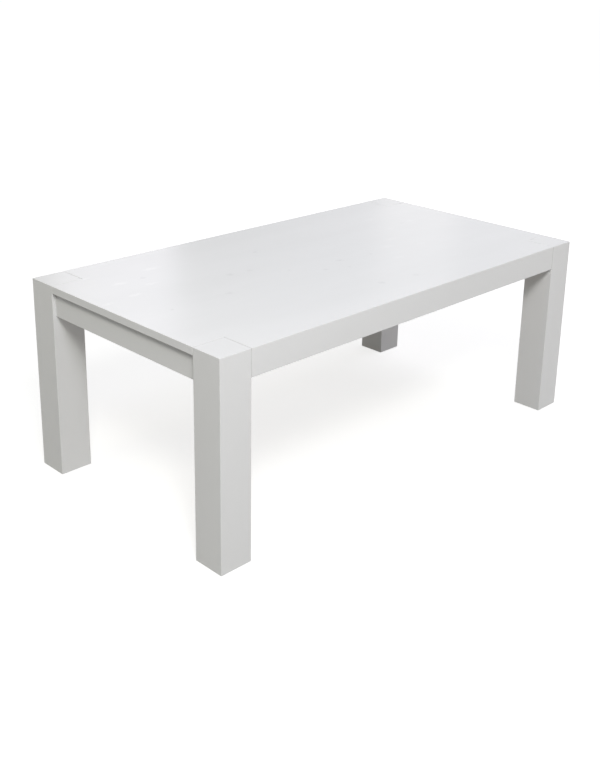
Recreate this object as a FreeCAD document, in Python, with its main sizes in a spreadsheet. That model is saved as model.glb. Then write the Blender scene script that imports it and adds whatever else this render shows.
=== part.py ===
"""A parsons dining table, in millimetres.

X runs along the table, Y across it and Z up. The origin is on the floor, under the middle of the top.
One corner, the front left one, is built; the other corners are its mirror images.
"""

import FreeCAD, Part
import os
import re

import Sketcher

DRIVING_SIZES = {
    # the whole table
    "table_length": 1981,
    "table_width": 1067,
    "table_height": 762,
    # top panel
    "top_thickness": 28,
    "arris_radius": 1.5,
    "seam_chamfer": 2,
    # legs
    "leg_side": 130,
    "leg_arris_radius": 2,
    "bolt_flat_setback": 24,
    "bolt_flat_margin": 4,
    # long rails, flush with the legs and mitred to the top
    "long_rail_depth": 100,
    "long_rail_thickness": 28,
    # end rails, set back under the top's end edge
    "end_rail_depth": 91,
    "end_rail_thickness": 25,
    "end_rail_setback": 13,
    # loose tongue in each long mitre
    "tongue_thickness": 4,
    "tongue_width": 16,
    "tongue_inset": 13,
    "tongue_end_setback": 25,
    "glue_gap": 0.1,
    "bore_end_room": 1,
    # cross rails under the top
    "cross_rail_thickness": 45,
    "cross_rail_depth": 60,
    # dowels between cross rails and long rails
    "dowel_radius": 5,
    "dowel_spacing": 30,
    "dowel_depth_long_rail": 18,
    "dowel_depth_cross_rail": 32,
    # corner blocks
    "block_thickness": 30,
    "block_height": 62,
    "block_leg_gap": 4,
    # hanger bolts that draw each leg against its corner block
    "bolt_radius": 4,
    "bolt_bite": 60,
    "bolt_proud": 6,
    "bolt_clearance": 0.5,
    "thread_gap": 0.05,
    "bolt_washer_radius": 12,
    "bolt_washer_thickness": 2,
    "washer_edge_room": 3,
    "nut_across_flats": 13,
    "nut_height": 6.5,
    # wood screws
    "screw_radius": 2.5,
    "screw_clearance": 0.3,
    "screw_head_radius": 4.75,
    "screw_head_height": 3.5,
    "screw_drive_width": 1.2,
    "screw_drive_depth": 1.5,
    "screw_recess_room": 0.5,
    "block_screw_spacing": 32,
    "block_screw_grip": 14,
    "block_screw_bite": 18,
    "top_screw_end_setback": 160,
    "top_screw_grip": 30,
    "top_screw_bite": 15,
    "top_screw_clearance": 0.8,
    "top_washer_radius": 6.5,
    "top_washer_thickness": 1.2,
    # clips that hold the top to the end rails, each with its tongue in a slot of the rail
    "clip_slot_drop": 12,
    "clip_slot_room": 1,
    "clip_thickness": 2,
    "clip_width": 20,
    "clip_tongue": 9,
    "clip_foot": 24,
    "clip_rail_gap": 0.5,
    "clip_screw_bite": 15,
    "clip_block_gap": 18,
    # levellers in the feet of the legs
    "pad_radius": 16,
    "pad_height": 6,
    "pad_chamfer": 1.5,
    "pad_floor_gap": 0.5,
    "pad_head_room": 1.5,
    "pad_side_room": 2,
    "leveller_radius": 4,
    "leveller_length": 25,
    "leveller_end_room": 3,
    "leveller_head_across_flats": 13,
    "leveller_head_height": 4.5,
    "insert_radius": 6,
    "insert_length": 20,
}

# what follows from the driving sizes
WORKED_OUT = {
    "half_length": "table_length / 2",
    "half_width": "table_width / 2",
    "leg_inner_x": "table_length / 2 - leg_side",
    "leg_inner_y": "table_width / 2 - leg_side",
    "top_underside": "table_height - top_thickness",
    "end_rail_inner": "end_rail_setback + end_rail_thickness",
    # the mitre runs from the outer arris down to the rail's inner top edge
    "mitre_slope": "top_thickness / long_rail_thickness",
    "mitre_length": "sqrt(top_thickness ^ 2 + long_rail_thickness ^ 2)",
    "arris_inset": "arris_radius * (1 + mitre_slope - sqrt(2 * mitre_slope)) / (1 + mitre_slope ^ 2)",
    "arris_drop": "arris_inset * mitre_slope",
    "tongue_centre": "mitre_length - tongue_inset - tongue_thickness / 2",
    "tongue_length": "2 * leg_inner_x - 2 * tongue_end_setback",
    # the cross rails share out the room between the legs, and their screws the room between setbacks
    "cross_rail_length": "table_width - 2 * long_rail_thickness",
    "cross_rail_pitch": "leg_inner_x / 2",
    "top_screw_pitch": "(cross_rail_length - 2 * top_screw_end_setback) / 3",
    "screw_recess_radius": "top_washer_radius + screw_recess_room",
    # the corner block lies across the corner; its faces are lines of constant x + y from the corner
    "leg_flat_sum": "2 * leg_side - bolt_flat_setback",
    "block_near_sum": "leg_flat_sum + block_leg_gap * sqrt(2)",
    "block_far_sum": "block_near_sum + block_thickness * sqrt(2)",
    "block_middle": "-block_height / 2",
    "block_end_on_long_rail": "(block_near_sum + block_far_sum) / 2 - long_rail_thickness",
    "block_end_on_end_rail": "(block_near_sum + block_far_sum) / 2 - end_rail_inner",
    "block_reach": "block_far_sum - end_rail_inner",
    # the bolts' washers stand in from the block's upper and lower edges
    "bolt_spacing": "block_height - 2 * (bolt_washer_radius + washer_edge_room)",
    "bolt_stick_out": "block_leg_gap + block_thickness + bolt_washer_thickness + nut_height + bolt_proud",
    # the outer clips stand clear of the corner blocks
    "clip_pitch": "half_width - block_reach - clip_block_gap - clip_width / 2",
    "clip_slot_height": "clip_thickness + clip_slot_room",
    "clip_slot_depth": "clip_tongue + clip_slot_room",
    # levellers
    "recess_depth": "pad_floor_gap + pad_height + pad_head_room",
    "recess_radius": "pad_radius + pad_side_room",
    "pad_top": "pad_floor_gap + pad_height",
    "leveller_top": "pad_top + leveller_length",
    "leg_centre": "leg_side / 2",
}

INWARD = FreeCAD.Vector(1, 1, 0)
OUTWARD = FreeCAD.Vector(-1, -1, 0)
ALONG_X = FreeCAD.Vector(1, 0, 0)
ALONG_Y = FreeCAD.Vector(0, 1, 0)
UPWARD = FreeCAD.Vector(0, 0, 1)

doc = FreeCAD.newDocument("ParsonsDiningTable")


# ---------------------------------------------------------------- sheets and expressions


def reference(text, own_sheet=""):
    """Writes an expression with each size named in full: leg_side becomes Sizes.leg_side."""

    def full_name(match):
        word = match.group(0)
        if word in DRIVING_SIZES:
            return "Sizes." + word
        if word in WORKED_OUT and own_sheet != "Layout":
            return "Layout." + word
        return word

    return re.sub(r"[a-z_]+", full_name, text)


def make_sheet(name, cells):
    """Makes a sheet with one named value to a row."""
    sheet = doc.addObject("Spreadsheet::Sheet", name)
    for row, (alias, content) in enumerate(cells.items(), start=1):
        sheet.set(f"A{row}", alias)
        sheet.set(f"B{row}", str(content))
        sheet.setAlias(f"B{row}", alias)
    return sheet


sizes = make_sheet("Sizes", DRIVING_SIZES)
make_sheet("Layout", {name: "=" + reference(text, "Layout") for name, text in WORKED_OUT.items()})
doc.recompute()


def number(text):
    """The value that an expression has now."""
    return float(sizes.evalExpression(reference(text)))


def bind(thing, path, text):
    """Ties one property of an object to the sheets."""
    thing.setExpression(path, reference(text))


def put(thing, x="0", y="0", z="0"):
    """Ties the place of a sub-part to the sheets."""
    for axis, text in (("x", x), ("y", y), ("z", z)):
        bind(thing, f"Placement.Base.{axis}", text)


# ---------------------------------------------------------------- bodies, sketches and cuts


def new_body(name):
    """A body whose label is the name of the sub-part."""
    body = doc.addObject("PartDesign::Body", name)
    body.Label = name
    return body


def origin_plane(body, role):
    """One of the body's own origin planes."""
    return next(plane for plane in body.Origin.OriginFeatures if plane.Role == role)


def new_sketch(body, name, role, level="0"):
    """A sketch on an origin plane, moved along the plane's normal to a level."""
    sketch = body.newObject("Sketcher::SketchObject", f"{body.Name}_{name}_sketch")
    sketch.AttachmentSupport = (origin_plane(body, role), [""])
    sketch.MapMode = "FlatFace"
    bind(sketch, "AttachmentOffset.Base.z", level)
    return sketch


def fix_point(sketch, geometry, position, x, y):
    """Holds a point of the sketch at two expressions from the origin."""
    for kind, text in (("DistanceX", x), ("DistanceY", y)):
        constraint = sketch.addConstraint(Sketcher.Constraint(kind, -1, 1, geometry, position, number(text)))
        bind(sketch, f"Constraints[{constraint}]", text)


def draw_outline(sketch, corners):
    """Draws a closed outline, counter-clockwise.

    A corner is (x, y), or (x, y, centre x, centre y, radius) where an arc leads from it to the next corner.
    """
    first = sketch.GeometryCount
    points = [FreeCAD.Vector(number(corner[0]), number(corner[1]), 0) for corner in corners]
    for index, corner in enumerate(corners):
        start = points[index]
        end = points[(index + 1) % len(points)]
        if len(corner) == 2:
            sketch.addGeometry(Part.LineSegment(start, end), False)
            continue
        centre = FreeCAD.Vector(number(corner[2]), number(corner[3]), 0)
        circle = Part.Circle(centre, UPWARD, number(corner[4]))
        sketch.addGeometry(Part.ArcOfCircle(circle, circle.parameter(start), circle.parameter(end)), False)
    for index, corner in enumerate(corners):
        piece = first + index
        follower = first + (index + 1) % len(corners)
        sketch.addConstraint(Sketcher.Constraint("Coincident", piece, 2, follower, 1))
        fix_point(sketch, piece, 1, corner[0], corner[1])
        if len(corner) > 2:
            radius = sketch.addConstraint(Sketcher.Constraint("Radius", piece, number(corner[4])))
            bind(sketch, f"Constraints[{radius}]", corner[4])


def draw_circles(sketch, centres, radius):
    """Draws equal circles at the given centres."""
    for index, (x, y) in enumerate(centres):
        centre = FreeCAD.Vector(number(x), number(y), 0)
        sketch.addGeometry(Part.Circle(centre, UPWARD, number(radius)), False)
        fix_point(sketch, index, 3, x, y)
        size = sketch.addConstraint(Sketcher.Constraint("Radius", index, number(radius)))
        bind(sketch, f"Constraints[{size}]", radius)


def draw_hexagon(sketch, across_flats):
    """Draws a hexagon about the origin with two of its corners on the X axis."""
    corner_radius = f"({across_flats}) / sqrt(3)"
    corners = []
    for turn in range(0, 360, 60):
        corners.append((f"{corner_radius} * cos({turn}deg)", f"{corner_radius} * sin({turn}deg)"))
    draw_outline(sketch, corners)


def pad(body, name, sketch, length, symmetric=False):
    """Raises a sketch into a solid, along its normal or half to each side."""
    feature = body.newObject("PartDesign::Pad", f"{body.Name}_{name}")
    feature.Profile = sketch
    feature.SideType = "Symmetric" if symmetric else "One side"
    bind(feature, "Length", length)
    doc.recompute()


def pocket(body, name, sketch, depth, with_normal=False, symmetric=False):
    """Cuts a sketch into the body, against its normal, with it or both ways, and makes sure that it cuts."""
    before = body.Shape.Volume
    feature = body.newObject("PartDesign::Pocket", f"{body.Name}_{name}")
    feature.Profile = sketch
    feature.SideType = "Symmetric" if symmetric else "One side"
    feature.Reversed = with_normal
    bind(feature, "Length", depth)
    doc.recompute()
    if body.Shape.Volume >= before:
        raise RuntimeError(f"{feature.Name} cuts nothing")


def bores(body, name, role, level, centres, radius, depth, with_normal=False):
    """Cuts equal round bores from a level of an origin plane."""
    sketch = new_sketch(body, name, role, level)
    draw_circles(sketch, centres, radius)
    pocket(body, name, sketch, depth, with_normal)


def slanted_bore(body, name, start, direction, radius, depth):
    """Cuts a round bore from a point in a direction that no origin plane faces."""
    before = body.Shape.Volume
    feature = body.newObject("PartDesign::SubtractiveCylinder", f"{body.Name}_{name}")
    feature.AttachmentSupport = (origin_plane(body, "XY_Plane"), [""])
    feature.MapMode = "FlatFace"
    feature.AttachmentOffset = FreeCAD.Placement(FreeCAD.Vector(), FreeCAD.Rotation(UPWARD, direction))
    for axis, text in zip("xyz", start):
        bind(feature, f"AttachmentOffset.Base.{axis}", text)
    bind(feature, "Radius", radius)
    bind(feature, "Height", depth)
    doc.recompute()
    if body.Shape.Volume >= before:
        raise RuntimeError(f"{feature.Name} cuts nothing")


def round_edges(body, name, radius, wanted):
    """Rounds the edges of the body's last feature that a test picks out."""
    base = body.Tip
    names = [f"Edge{index}" for index, edge in enumerate(base.Shape.Edges, start=1) if wanted(edge)]
    if not names:
        raise RuntimeError(f"{name} of {body.Name} finds no edge")
    feature = body.newObject("PartDesign::Fillet", f"{body.Name}_{name}")
    feature.Base = (base, names)
    bind(feature, "Radius", radius)
    doc.recompute()


def bevel_seams(body, name, role, level, half_span, into, run, with_normal=False):
    """Bevels the two edges of a board's face that lie against legs.

    The face is the sketch's X axis. half_span is each edge's distance from the middle, into is the sign that
    leads from the face into the wood, and run is how far the bevels go from the sketch.
    """
    sketch = new_sketch(body, name, role, level)
    for side in ("", "-"):
        draw_outline(sketch, [
            (f"{side}({half_span} - seam_chamfer)", "0"),
            (f"{side}{half_span}", f"{into}seam_chamfer"),
            (f"{side}{half_span}", "0"),
        ])
    pocket(body, name, sketch, run, with_normal)


def runs_along(edge, axis):
    """Whether an edge is straight and parallel to an axis."""
    if not isinstance(edge.Curve, Part.Line):
        return False
    return abs(abs(edge.Curve.Direction.dot(axis)) - 1) < 1e-6


def lies_at(edge, **levels):
    """Whether all of an edge lies at the given x, y or z, each an expression."""
    box = edge.BoundBox
    limits = {"x": (box.XMin, box.XMax), "y": (box.YMin, box.YMax), "z": (box.ZMin, box.ZMax)}
    return all(abs(limit - number(text)) < 1e-4 for axis, text in levels.items() for limit in limits[axis])


# ---------------------------------------------------------------- copies and sets


def mirrored(source, name, normal):
    """The mirror image of a sub-part in a plane through the origin."""
    image = doc.addObject("Part::Mirroring", name)
    image.Label = name
    image.Source = source
    image.Normal = normal
    return image


def four_corners(source, what):
    """Names the front left sub-part and mirrors it into the other three corners."""
    source.Label = f"front_left_{what}"
    back_left = mirrored(source, f"back_left_{what}", ALONG_Y)
    return [
        source,
        mirrored(source, f"front_right_{what}", ALONG_X),
        back_left,
        mirrored(back_left, f"back_right_{what}", ALONG_X),
    ]


def copies(source, name, places):
    """Links to one piece at several places, each an (x, y, z) of expressions and a rotation."""
    links = []
    for index, (place, rotation) in enumerate(places, start=1):
        link = doc.addObject("App::Link", f"{name}_{index}")
        link.LinkedObject = source
        link.Placement = FreeCAD.Placement(FreeCAD.Vector(), rotation)
        put(link, *place)
        links.append(link)
    return links


def grouped(name, members):
    """Puts separate solids into one sub-part."""
    group = doc.addObject("Part::Compound", name)
    group.Label = name
    group.Links = members
    return group


def corner_set(name, members):
    """Groups the pieces of the front left corner with their images in the other corners."""
    front_left = grouped(f"{name}_front_left", members)
    return grouped(name, four_corners(front_left, name))


# ---------------------------------------------------------------- legs


def make_leg():
    """The front left leg: a square post with a flat for the bolts and bores for bolts and leveller."""
    leg = new_body("leg")
    put(leg, "-half_length", "-half_width", "0")
    section = new_sketch(leg, "section", "XY_Plane")
    draw_outline(section, [("0", "0"), ("leg_side", "0"), ("leg_side", "leg_side"), ("0", "leg_side")])
    pad(leg, "post", section, "table_height")
    round_edges(leg, "long_arrises", "leg_arris_radius", lambda edge: runs_along(edge, UPWARD))
    round_edges(leg, "top_arrises", "arris_radius", lambda edge: lies_at(edge, z="table_height"))
    round_edges(leg, "foot_arrises", "arris_radius", lambda edge: lies_at(edge, z="0"))

    flat = new_sketch(leg, "bolt_flat", "XY_Plane", "top_underside")
    cut_back = "leg_side - bolt_flat_setback"
    draw_outline(flat, [("leg_side", cut_back), ("leg_side", "leg_side"), (cut_back, "leg_side")])
    pocket(leg, "bolt_flat", flat, "block_height + bolt_flat_margin")
    for name, side in (("upper", "+"), ("lower", "-")):
        height = f"top_underside + block_middle {side} bolt_spacing / 2"
        start = ("leg_flat_sum / 2", "leg_flat_sum / 2", height)
        slanted_bore(leg, f"{name}_bolt", start, OUTWARD, "bolt_radius + thread_gap",
                     "bolt_bite + bore_end_room")

    middle = [("leg_centre", "leg_centre")]
    insert_top = "recess_depth + insert_length"
    bores(leg, "pad_recess", "XY_Plane", "0", middle, "recess_radius", "recess_depth", with_normal=True)
    bores(leg, "insert", "XY_Plane", "recess_depth", middle, "insert_radius + glue_gap", "insert_length",
          with_normal=True)
    bores(leg, "leveller", "XY_Plane", insert_top, middle, "leveller_radius + bolt_clearance",
          f"leveller_top + leveller_end_room - ({insert_top})", with_normal=True)
    return leg


# ---------------------------------------------------------------- mitre between top and long rails


def tongue_outline(arris_y, inward, margin="0"):
    """The loose tongue's four corners in a Y-Z outline whose origin is level with the top's face.

    arris_y is where the mitre starts, and inward is +1 or -1, the way from there to the table's middle.
    """
    thick = f"(tongue_thickness / 2 + {margin}) / mitre_length"
    wide = f"(tongue_width / 2 + {margin}) / mitre_length"
    centre = "tongue_centre / mitre_length"
    corners = []
    for along, across in ((-1, -1), (1, -1), (1, 1), (-1, 1)):
        out = f"({centre} + {along} * {thick}) * long_rail_thickness + {across} * {wide} * top_thickness"
        down = f"-({centre} + {along} * {thick}) * top_thickness + {across} * {wide} * long_rail_thickness"
        corners.append((f"{arris_y} + ({inward}) * ({out})", down))
    return corners


def cut_tongue_groove(body, name, arris_y, inward):
    """Cuts the groove for a loose tongue, stopped short of the mitre's ends."""
    sketch = new_sketch(body, name, "YZ_Plane")
    draw_outline(sketch, tongue_outline(arris_y, inward, "glue_gap"))
    pocket(body, name, sketch, "tongue_length + 2 * glue_gap", symmetric=True)


def make_tongue():
    """The front mitre's loose tongue."""
    tongue = new_body("front_mitre_tongue")
    put(tongue, "0", "-half_width", "table_height")
    section = new_sketch(tongue, "section", "YZ_Plane")
    draw_outline(section, tongue_outline("0", 1))
    pad(tongue, "strip", section, "tongue_length", symmetric=True)
    return tongue


# ---------------------------------------------------------------- top panel

CROSS_RAIL_PLACES = {"left": "-cross_rail_pitch", "centre": "0", "right": "cross_rail_pitch"}
TOP_SCREW_PLACES = [f"{share} * top_screw_pitch" for share in (-1.5, -0.5, 0.5, 1.5)]
CLIP_PLACES = ["-clip_pitch", "0", "clip_pitch"]
CLIP_SCREW_X = "clip_rail_gap + clip_thickness + clip_foot / 2"


def make_top_panel():
    """The top: notched at its corners for the legs, with mitres along its long edges."""
    panel = new_body("top_panel")
    put(panel, "0", "0", "table_height")
    middle = new_sketch(panel, "between_long_rails", "YZ_Plane")
    mitre_foot = "half_width - long_rail_thickness"
    arris_edge = "half_width - arris_inset"
    arris_centre = "half_width - arris_radius"
    draw_outline(middle, [
        (f"-({mitre_foot})", "-top_thickness"),
        (mitre_foot, "-top_thickness"),
        (arris_edge, "-arris_drop", arris_centre, "-arris_radius", "arris_radius"),
        (arris_centre, "0"),
        (f"-({arris_centre})", "0", f"-({arris_centre})", "-arris_radius", "arris_radius"),
        (f"-({arris_edge})", "-arris_drop"),
    ])
    pad(panel, "middle", middle, "2 * leg_inner_x", symmetric=True)
    ends = new_sketch(panel, "between_legs", "YZ_Plane")
    draw_outline(ends, [
        ("-leg_inner_y", "-top_thickness"),
        ("leg_inner_y", "-top_thickness"),
        ("leg_inner_y", "0"),
        ("-leg_inner_y", "0"),
    ])
    pad(panel, "ends", ends, "table_length", symmetric=True)

    def is_end_arris(edge):
        """Whether an edge runs across one end of the top, above or below."""
        ends_of_top = [(x, z) for x in ("half_length", "-half_length") for z in ("0", "-top_thickness")]
        return any(lies_at(edge, x=x, z=z) for x, z in ends_of_top)

    round_edges(panel, "end_arrises", "arris_radius", is_end_arris)
    for name, role, level, half_span, with_normal in (
        ("front_seams", "XZ_Plane", "leg_inner_y", "leg_inner_x", True),
        ("back_seams", "XZ_Plane", "-leg_inner_y", "leg_inner_x", False),
        ("left_seams", "YZ_Plane", "-leg_inner_x", "leg_inner_y", False),
        ("right_seams", "YZ_Plane", "leg_inner_x", "leg_inner_y", True),
    ):
        bevel_seams(panel, name, role, level, half_span, "-", "leg_side", with_normal)
    cut_tongue_groove(panel, "front_groove", "-half_width", 1)
    cut_tongue_groove(panel, "back_groove", "half_width", -1)

    screw_centres = [(x, y) for x in CROSS_RAIL_PLACES.values() for y in TOP_SCREW_PLACES]
    bores(panel, "top_screws", "XY_Plane", "-top_thickness", screw_centres, "screw_radius + thread_gap",
          "top_screw_bite + bore_end_room", with_normal=True)
    clip_x = f"half_length - end_rail_inner - ({CLIP_SCREW_X})"
    clip_centres = [(x, y) for x in (f"-({clip_x})", clip_x) for y in CLIP_PLACES]
    bores(panel, "clip_screws", "XY_Plane", "-top_thickness", clip_centres, "screw_radius + thread_gap",
          "clip_screw_bite + bore_end_room", with_normal=True)
    return panel


# ---------------------------------------------------------------- rails


def make_long_rail():
    """The front long rail: flush with the legs and mitred to the top."""
    rail = new_body("front_long_rail")
    put(rail, "0", "-half_width", "table_height")
    section = new_sketch(rail, "section", "YZ_Plane")
    draw_outline(section, [
        ("0", "-long_rail_depth"),
        ("long_rail_thickness", "-long_rail_depth"),
        ("long_rail_thickness", "-top_thickness"),
        ("arris_inset", "-arris_drop", "arris_radius", "-arris_radius", "arris_radius"),
        ("0", "-arris_radius"),
    ])
    pad(rail, "board", section, "2 * leg_inner_x", symmetric=True)
    round_edges(rail, "lower_arrises", "arris_radius",
                lambda edge: runs_along(edge, ALONG_X) and lies_at(edge, z="-long_rail_depth"))
    bevel_seams(rail, "seams", "XY_Plane", "0", "leg_inner_x", "", "long_rail_depth")
    cut_tongue_groove(rail, "groove", "0", 1)

    inner_face = "-long_rail_thickness"
    dowel_level = "top_thickness + cross_rail_depth / 2"
    dowel_centres = [(x, f"-({dowel_level}) {side} dowel_spacing / 2")
                     for x in CROSS_RAIL_PLACES.values() for side in "+-"]
    bores(rail, "dowels", "XZ_Plane", inner_face, dowel_centres, "dowel_radius + glue_gap",
          "dowel_depth_long_rail + bore_end_room", with_normal=True)
    screw_x = "half_length - block_end_on_long_rail"
    screw_centres = [(x, f"block_middle - top_thickness {side} block_screw_spacing / 2")
                     for x in (f"-({screw_x})", screw_x) for side in "+-"]
    bores(rail, "block_screws", "XZ_Plane", inner_face, screw_centres, "screw_radius + thread_gap",
          "block_screw_bite + bore_end_room", with_normal=True)
    return rail


def make_end_rail():
    """The left end rail: set back under the top's end edge, with a slot inside for each clip."""
    rail = new_body("left_end_rail")
    put(rail, "-half_length + end_rail_setback", "0", "top_underside")
    section = new_sketch(rail, "section", "XZ_Plane")
    draw_outline(section, [
        ("0", "-end_rail_depth"),
        ("end_rail_thickness", "-end_rail_depth"),
        ("end_rail_thickness", "0"),
        ("0", "0"),
    ])
    pad(rail, "board", section, "2 * leg_inner_y", symmetric=True)
    round_edges(rail, "lower_arrises", "arris_radius",
                lambda edge: runs_along(edge, ALONG_Y) and lies_at(edge, z="-end_rail_depth"))

    half_slot = "(clip_width / 2 + clip_slot_room)"
    slot_floor = "-clip_slot_drop - clip_slot_height"
    for number_of_slot, y in enumerate(CLIP_PLACES, start=1):
        slot = new_sketch(rail, f"clip_slot_{number_of_slot}", "YZ_Plane", "end_rail_thickness")
        draw_outline(slot, [
            (f"{y} - {half_slot}", slot_floor),
            (f"{y} + {half_slot}", slot_floor),
            (f"{y} + {half_slot}", "-clip_slot_drop"),
            (f"{y} - {half_slot}", "-clip_slot_drop"),
        ])
        pocket(rail, f"clip_slot_{number_of_slot}", slot, "clip_slot_depth")

    screw_y = "half_width - block_end_on_end_rail"
    screw_centres = [(y, f"block_middle {side} block_screw_spacing / 2")
                     for y in (f"-({screw_y})", screw_y) for side in "+-"]
    bores(rail, "block_screws", "YZ_Plane", "end_rail_thickness", screw_centres, "screw_radius + thread_gap",
          "block_screw_bite + bore_end_room")
    return rail


def make_cross_rail(side, x):
    """A cross rail under the top, dowelled to both long rails and bored for the screws into the top."""
    rail = new_body(f"{side}_cross_rail")
    put(rail, x, "0", "top_underside")
    section = new_sketch(rail, "section", "XZ_Plane")
    draw_outline(section, [
        ("-cross_rail_thickness / 2", "-cross_rail_depth"),
        ("cross_rail_thickness / 2", "-cross_rail_depth"),
        ("cross_rail_thickness / 2", "0"),
        ("-cross_rail_thickness / 2", "0"),
    ])
    pad(rail, "board", section, "cross_rail_length", symmetric=True)
    round_edges(rail, "lower_arrises", "arris_radius",
                lambda edge: runs_along(edge, ALONG_Y) and lies_at(edge, z="-cross_rail_depth"))
    dowel_centres = [("0", f"-cross_rail_depth / 2 {sign} dowel_spacing / 2") for sign in "+-"]
    rail_ends = (("front", "cross_rail_length / 2", False), ("back", "-cross_rail_length / 2", True))
    for end, level, with_normal in rail_ends:
        bores(rail, f"{end}_dowels", "XZ_Plane", level, dowel_centres, "dowel_radius + glue_gap",
              "dowel_depth_cross_rail + bore_end_room", with_normal)
    screw_centres = [("0", y) for y in TOP_SCREW_PLACES]
    bores(rail, "screw_recesses", "XY_Plane", "-cross_rail_depth", screw_centres, "screw_recess_radius",
          "cross_rail_depth - top_screw_grip", with_normal=True)
    bores(rail, "screws", "XY_Plane", "-top_screw_grip", screw_centres, "screw_radius + top_screw_clearance",
          "top_screw_grip", with_normal=True)
    return rail


# ---------------------------------------------------------------- corner blocks


def make_corner_block():
    """The front left corner block: screwed to both rails, with bores for the leg's hanger bolts."""
    block = new_body("corner_block")
    put(block, "-half_length", "-half_width", "top_underside")
    plan = new_sketch(block, "plan", "XY_Plane", "-block_height")
    draw_outline(plan, [
        ("block_near_sum - long_rail_thickness", "long_rail_thickness"),
        ("block_far_sum - long_rail_thickness", "long_rail_thickness"),
        ("end_rail_inner", "block_reach"),
        ("end_rail_inner", "block_near_sum - end_rail_inner"),
    ])
    pad(block, "board", plan, "block_height")
    for name, side in (("upper", "+"), ("lower", "-")):
        start = ("leg_flat_sum / 2", "leg_flat_sum / 2", f"block_middle {side} bolt_spacing / 2")
        slanted_bore(block, f"{name}_bolt", start, INWARD, "bolt_radius + bolt_clearance",
                     "2 * block_leg_gap + block_thickness")
    ends = (
        ("long_rail", "XZ_Plane", "-", "block_end_on_long_rail", "long_rail_thickness", False),
        ("end_rail", "YZ_Plane", "", "block_end_on_end_rail", "end_rail_inner", True),
    )
    for name, role, sign, along, face, with_normal in ends:
        centres = [(along, f"block_middle {side} block_screw_spacing / 2") for side in "+-"]
        bores(block, f"{name}_screws", role, f"{sign}({face})", centres, "screw_radius + screw_clearance",
              "block_screw_grip", with_normal)
        bores(block, f"{name}_screw_recesses", role, f"{sign}({face} + block_screw_grip)", centres,
              "screw_recess_radius", "2 * block_thickness", with_normal)
    return block


# ---------------------------------------------------------------- turned and bent hardware


def turned(name, corners):
    """A body turned about its Z axis from half its outline, given as (radius, height)."""
    body = new_body(name)
    sketch = new_sketch(body, "half_section", "XZ_Plane")
    draw_outline(sketch, corners)
    feature = body.newObject("PartDesign::Revolution", f"{name}_turned")
    feature.Profile = sketch
    feature.ReferenceAxis = (sketch, ["V_Axis"])
    feature.Angle = 360
    doc.recompute()
    return body


def turned_ring(name, inner, outer, height):
    """A washer or sleeve that stands on its local X-Y plane."""
    return turned(name, [(inner, "0"), (outer, "0"), (outer, height), (inner, height)])


def wood_screw(name, length):
    """A pan-head wood screw with a cross drive: head above its local X-Y plane, shank below."""
    screw = turned(name, [
        ("0", f"-({length})"),
        ("screw_radius", f"-({length}) + 2 * screw_radius"),
        ("screw_radius", "0"),
        ("screw_head_radius", "0"),
        ("screw_head_radius", "screw_head_height / 2"),
        ("screw_head_radius - screw_head_height / 2", "screw_head_height"),
        ("0", "screw_head_height"),
    ])
    for arm, across in (("lengthwise", "xy"), ("crosswise", "yx")):
        half = {across[0]: "screw_head_radius / 2", across[1]: "screw_drive_width / 2"}
        drive = new_sketch(screw, f"{arm}_drive", "XY_Plane", "screw_head_height")
        draw_outline(drive, [
            (f"-{half['x']}", f"-{half['y']}"),
            (half["x"], f"-{half['y']}"),
            (half["x"], half["y"]),
            (f"-{half['x']}", half["y"]),
        ])
        pocket(screw, f"{arm}_drive", drive, "screw_drive_depth")
    return screw


def hanger_bolt():
    """A bolt with its leg flat at z = 0: wood thread below, machine thread above."""
    return turned("one_hanger_bolt", [
        ("0", "-bolt_bite"),
        ("bolt_radius", "-bolt_bite + bolt_radius"),
        ("bolt_radius", "bolt_stick_out - bolt_radius / 4"),
        ("bolt_radius * 3 / 4", "bolt_stick_out"),
        ("0", "bolt_stick_out"),
    ])


def hex_nut():
    """A nut that stands on its local X-Y plane."""
    nut = new_body("one_nut")
    outline = new_sketch(nut, "hexagon", "XY_Plane")
    draw_hexagon(outline, "nut_across_flats")
    pad(nut, "hexagon", outline, "nut_height")
    bores(nut, "thread", "XY_Plane", "0", [("0", "0")], "bolt_radius + thread_gap", "nut_height",
          with_normal=True)
    return nut


def make_dowel():
    """A dowel with its joint line at z = 0: the cross rail's share above, the long rail's below."""
    bevel = "dowel_radius / 5"
    return turned("one_dowel", [
        ("0", "-dowel_depth_long_rail"),
        (f"dowel_radius - {bevel}", "-dowel_depth_long_rail"),
        ("dowel_radius", f"-dowel_depth_long_rail + {bevel}"),
        ("dowel_radius", f"dowel_depth_cross_rail - {bevel}"),
        (f"dowel_radius - {bevel}", "dowel_depth_cross_rail"),
        ("0", "dowel_depth_cross_rail"),
    ])


def top_clip():
    """A bent clip: its tongue in the end rail's slot, its foot under the top, its web between them."""
    clip = new_body("one_top_clip")
    section = new_sketch(clip, "section", "XZ_Plane")
    web_far = "clip_rail_gap + clip_thickness"
    draw_outline(section, [
        ("-clip_tongue", "-clip_slot_drop - clip_thickness"),
        (web_far, "-clip_slot_drop - clip_thickness"),
        (web_far, "-clip_thickness"),
        (f"{web_far} + clip_foot", "-clip_thickness"),
        (f"{web_far} + clip_foot", "0"),
        ("clip_rail_gap", "0"),
        ("clip_rail_gap", "-clip_slot_drop"),
        ("-clip_tongue", "-clip_slot_drop"),
    ])
    pad(clip, "strip", section, "clip_width", symmetric=True)
    bores(clip, "screw", "XY_Plane", "0", [(CLIP_SCREW_X, "0")], "screw_radius + screw_clearance",
          "clip_thickness")
    return clip


# ---------------------------------------------------------------- levellers


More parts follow.
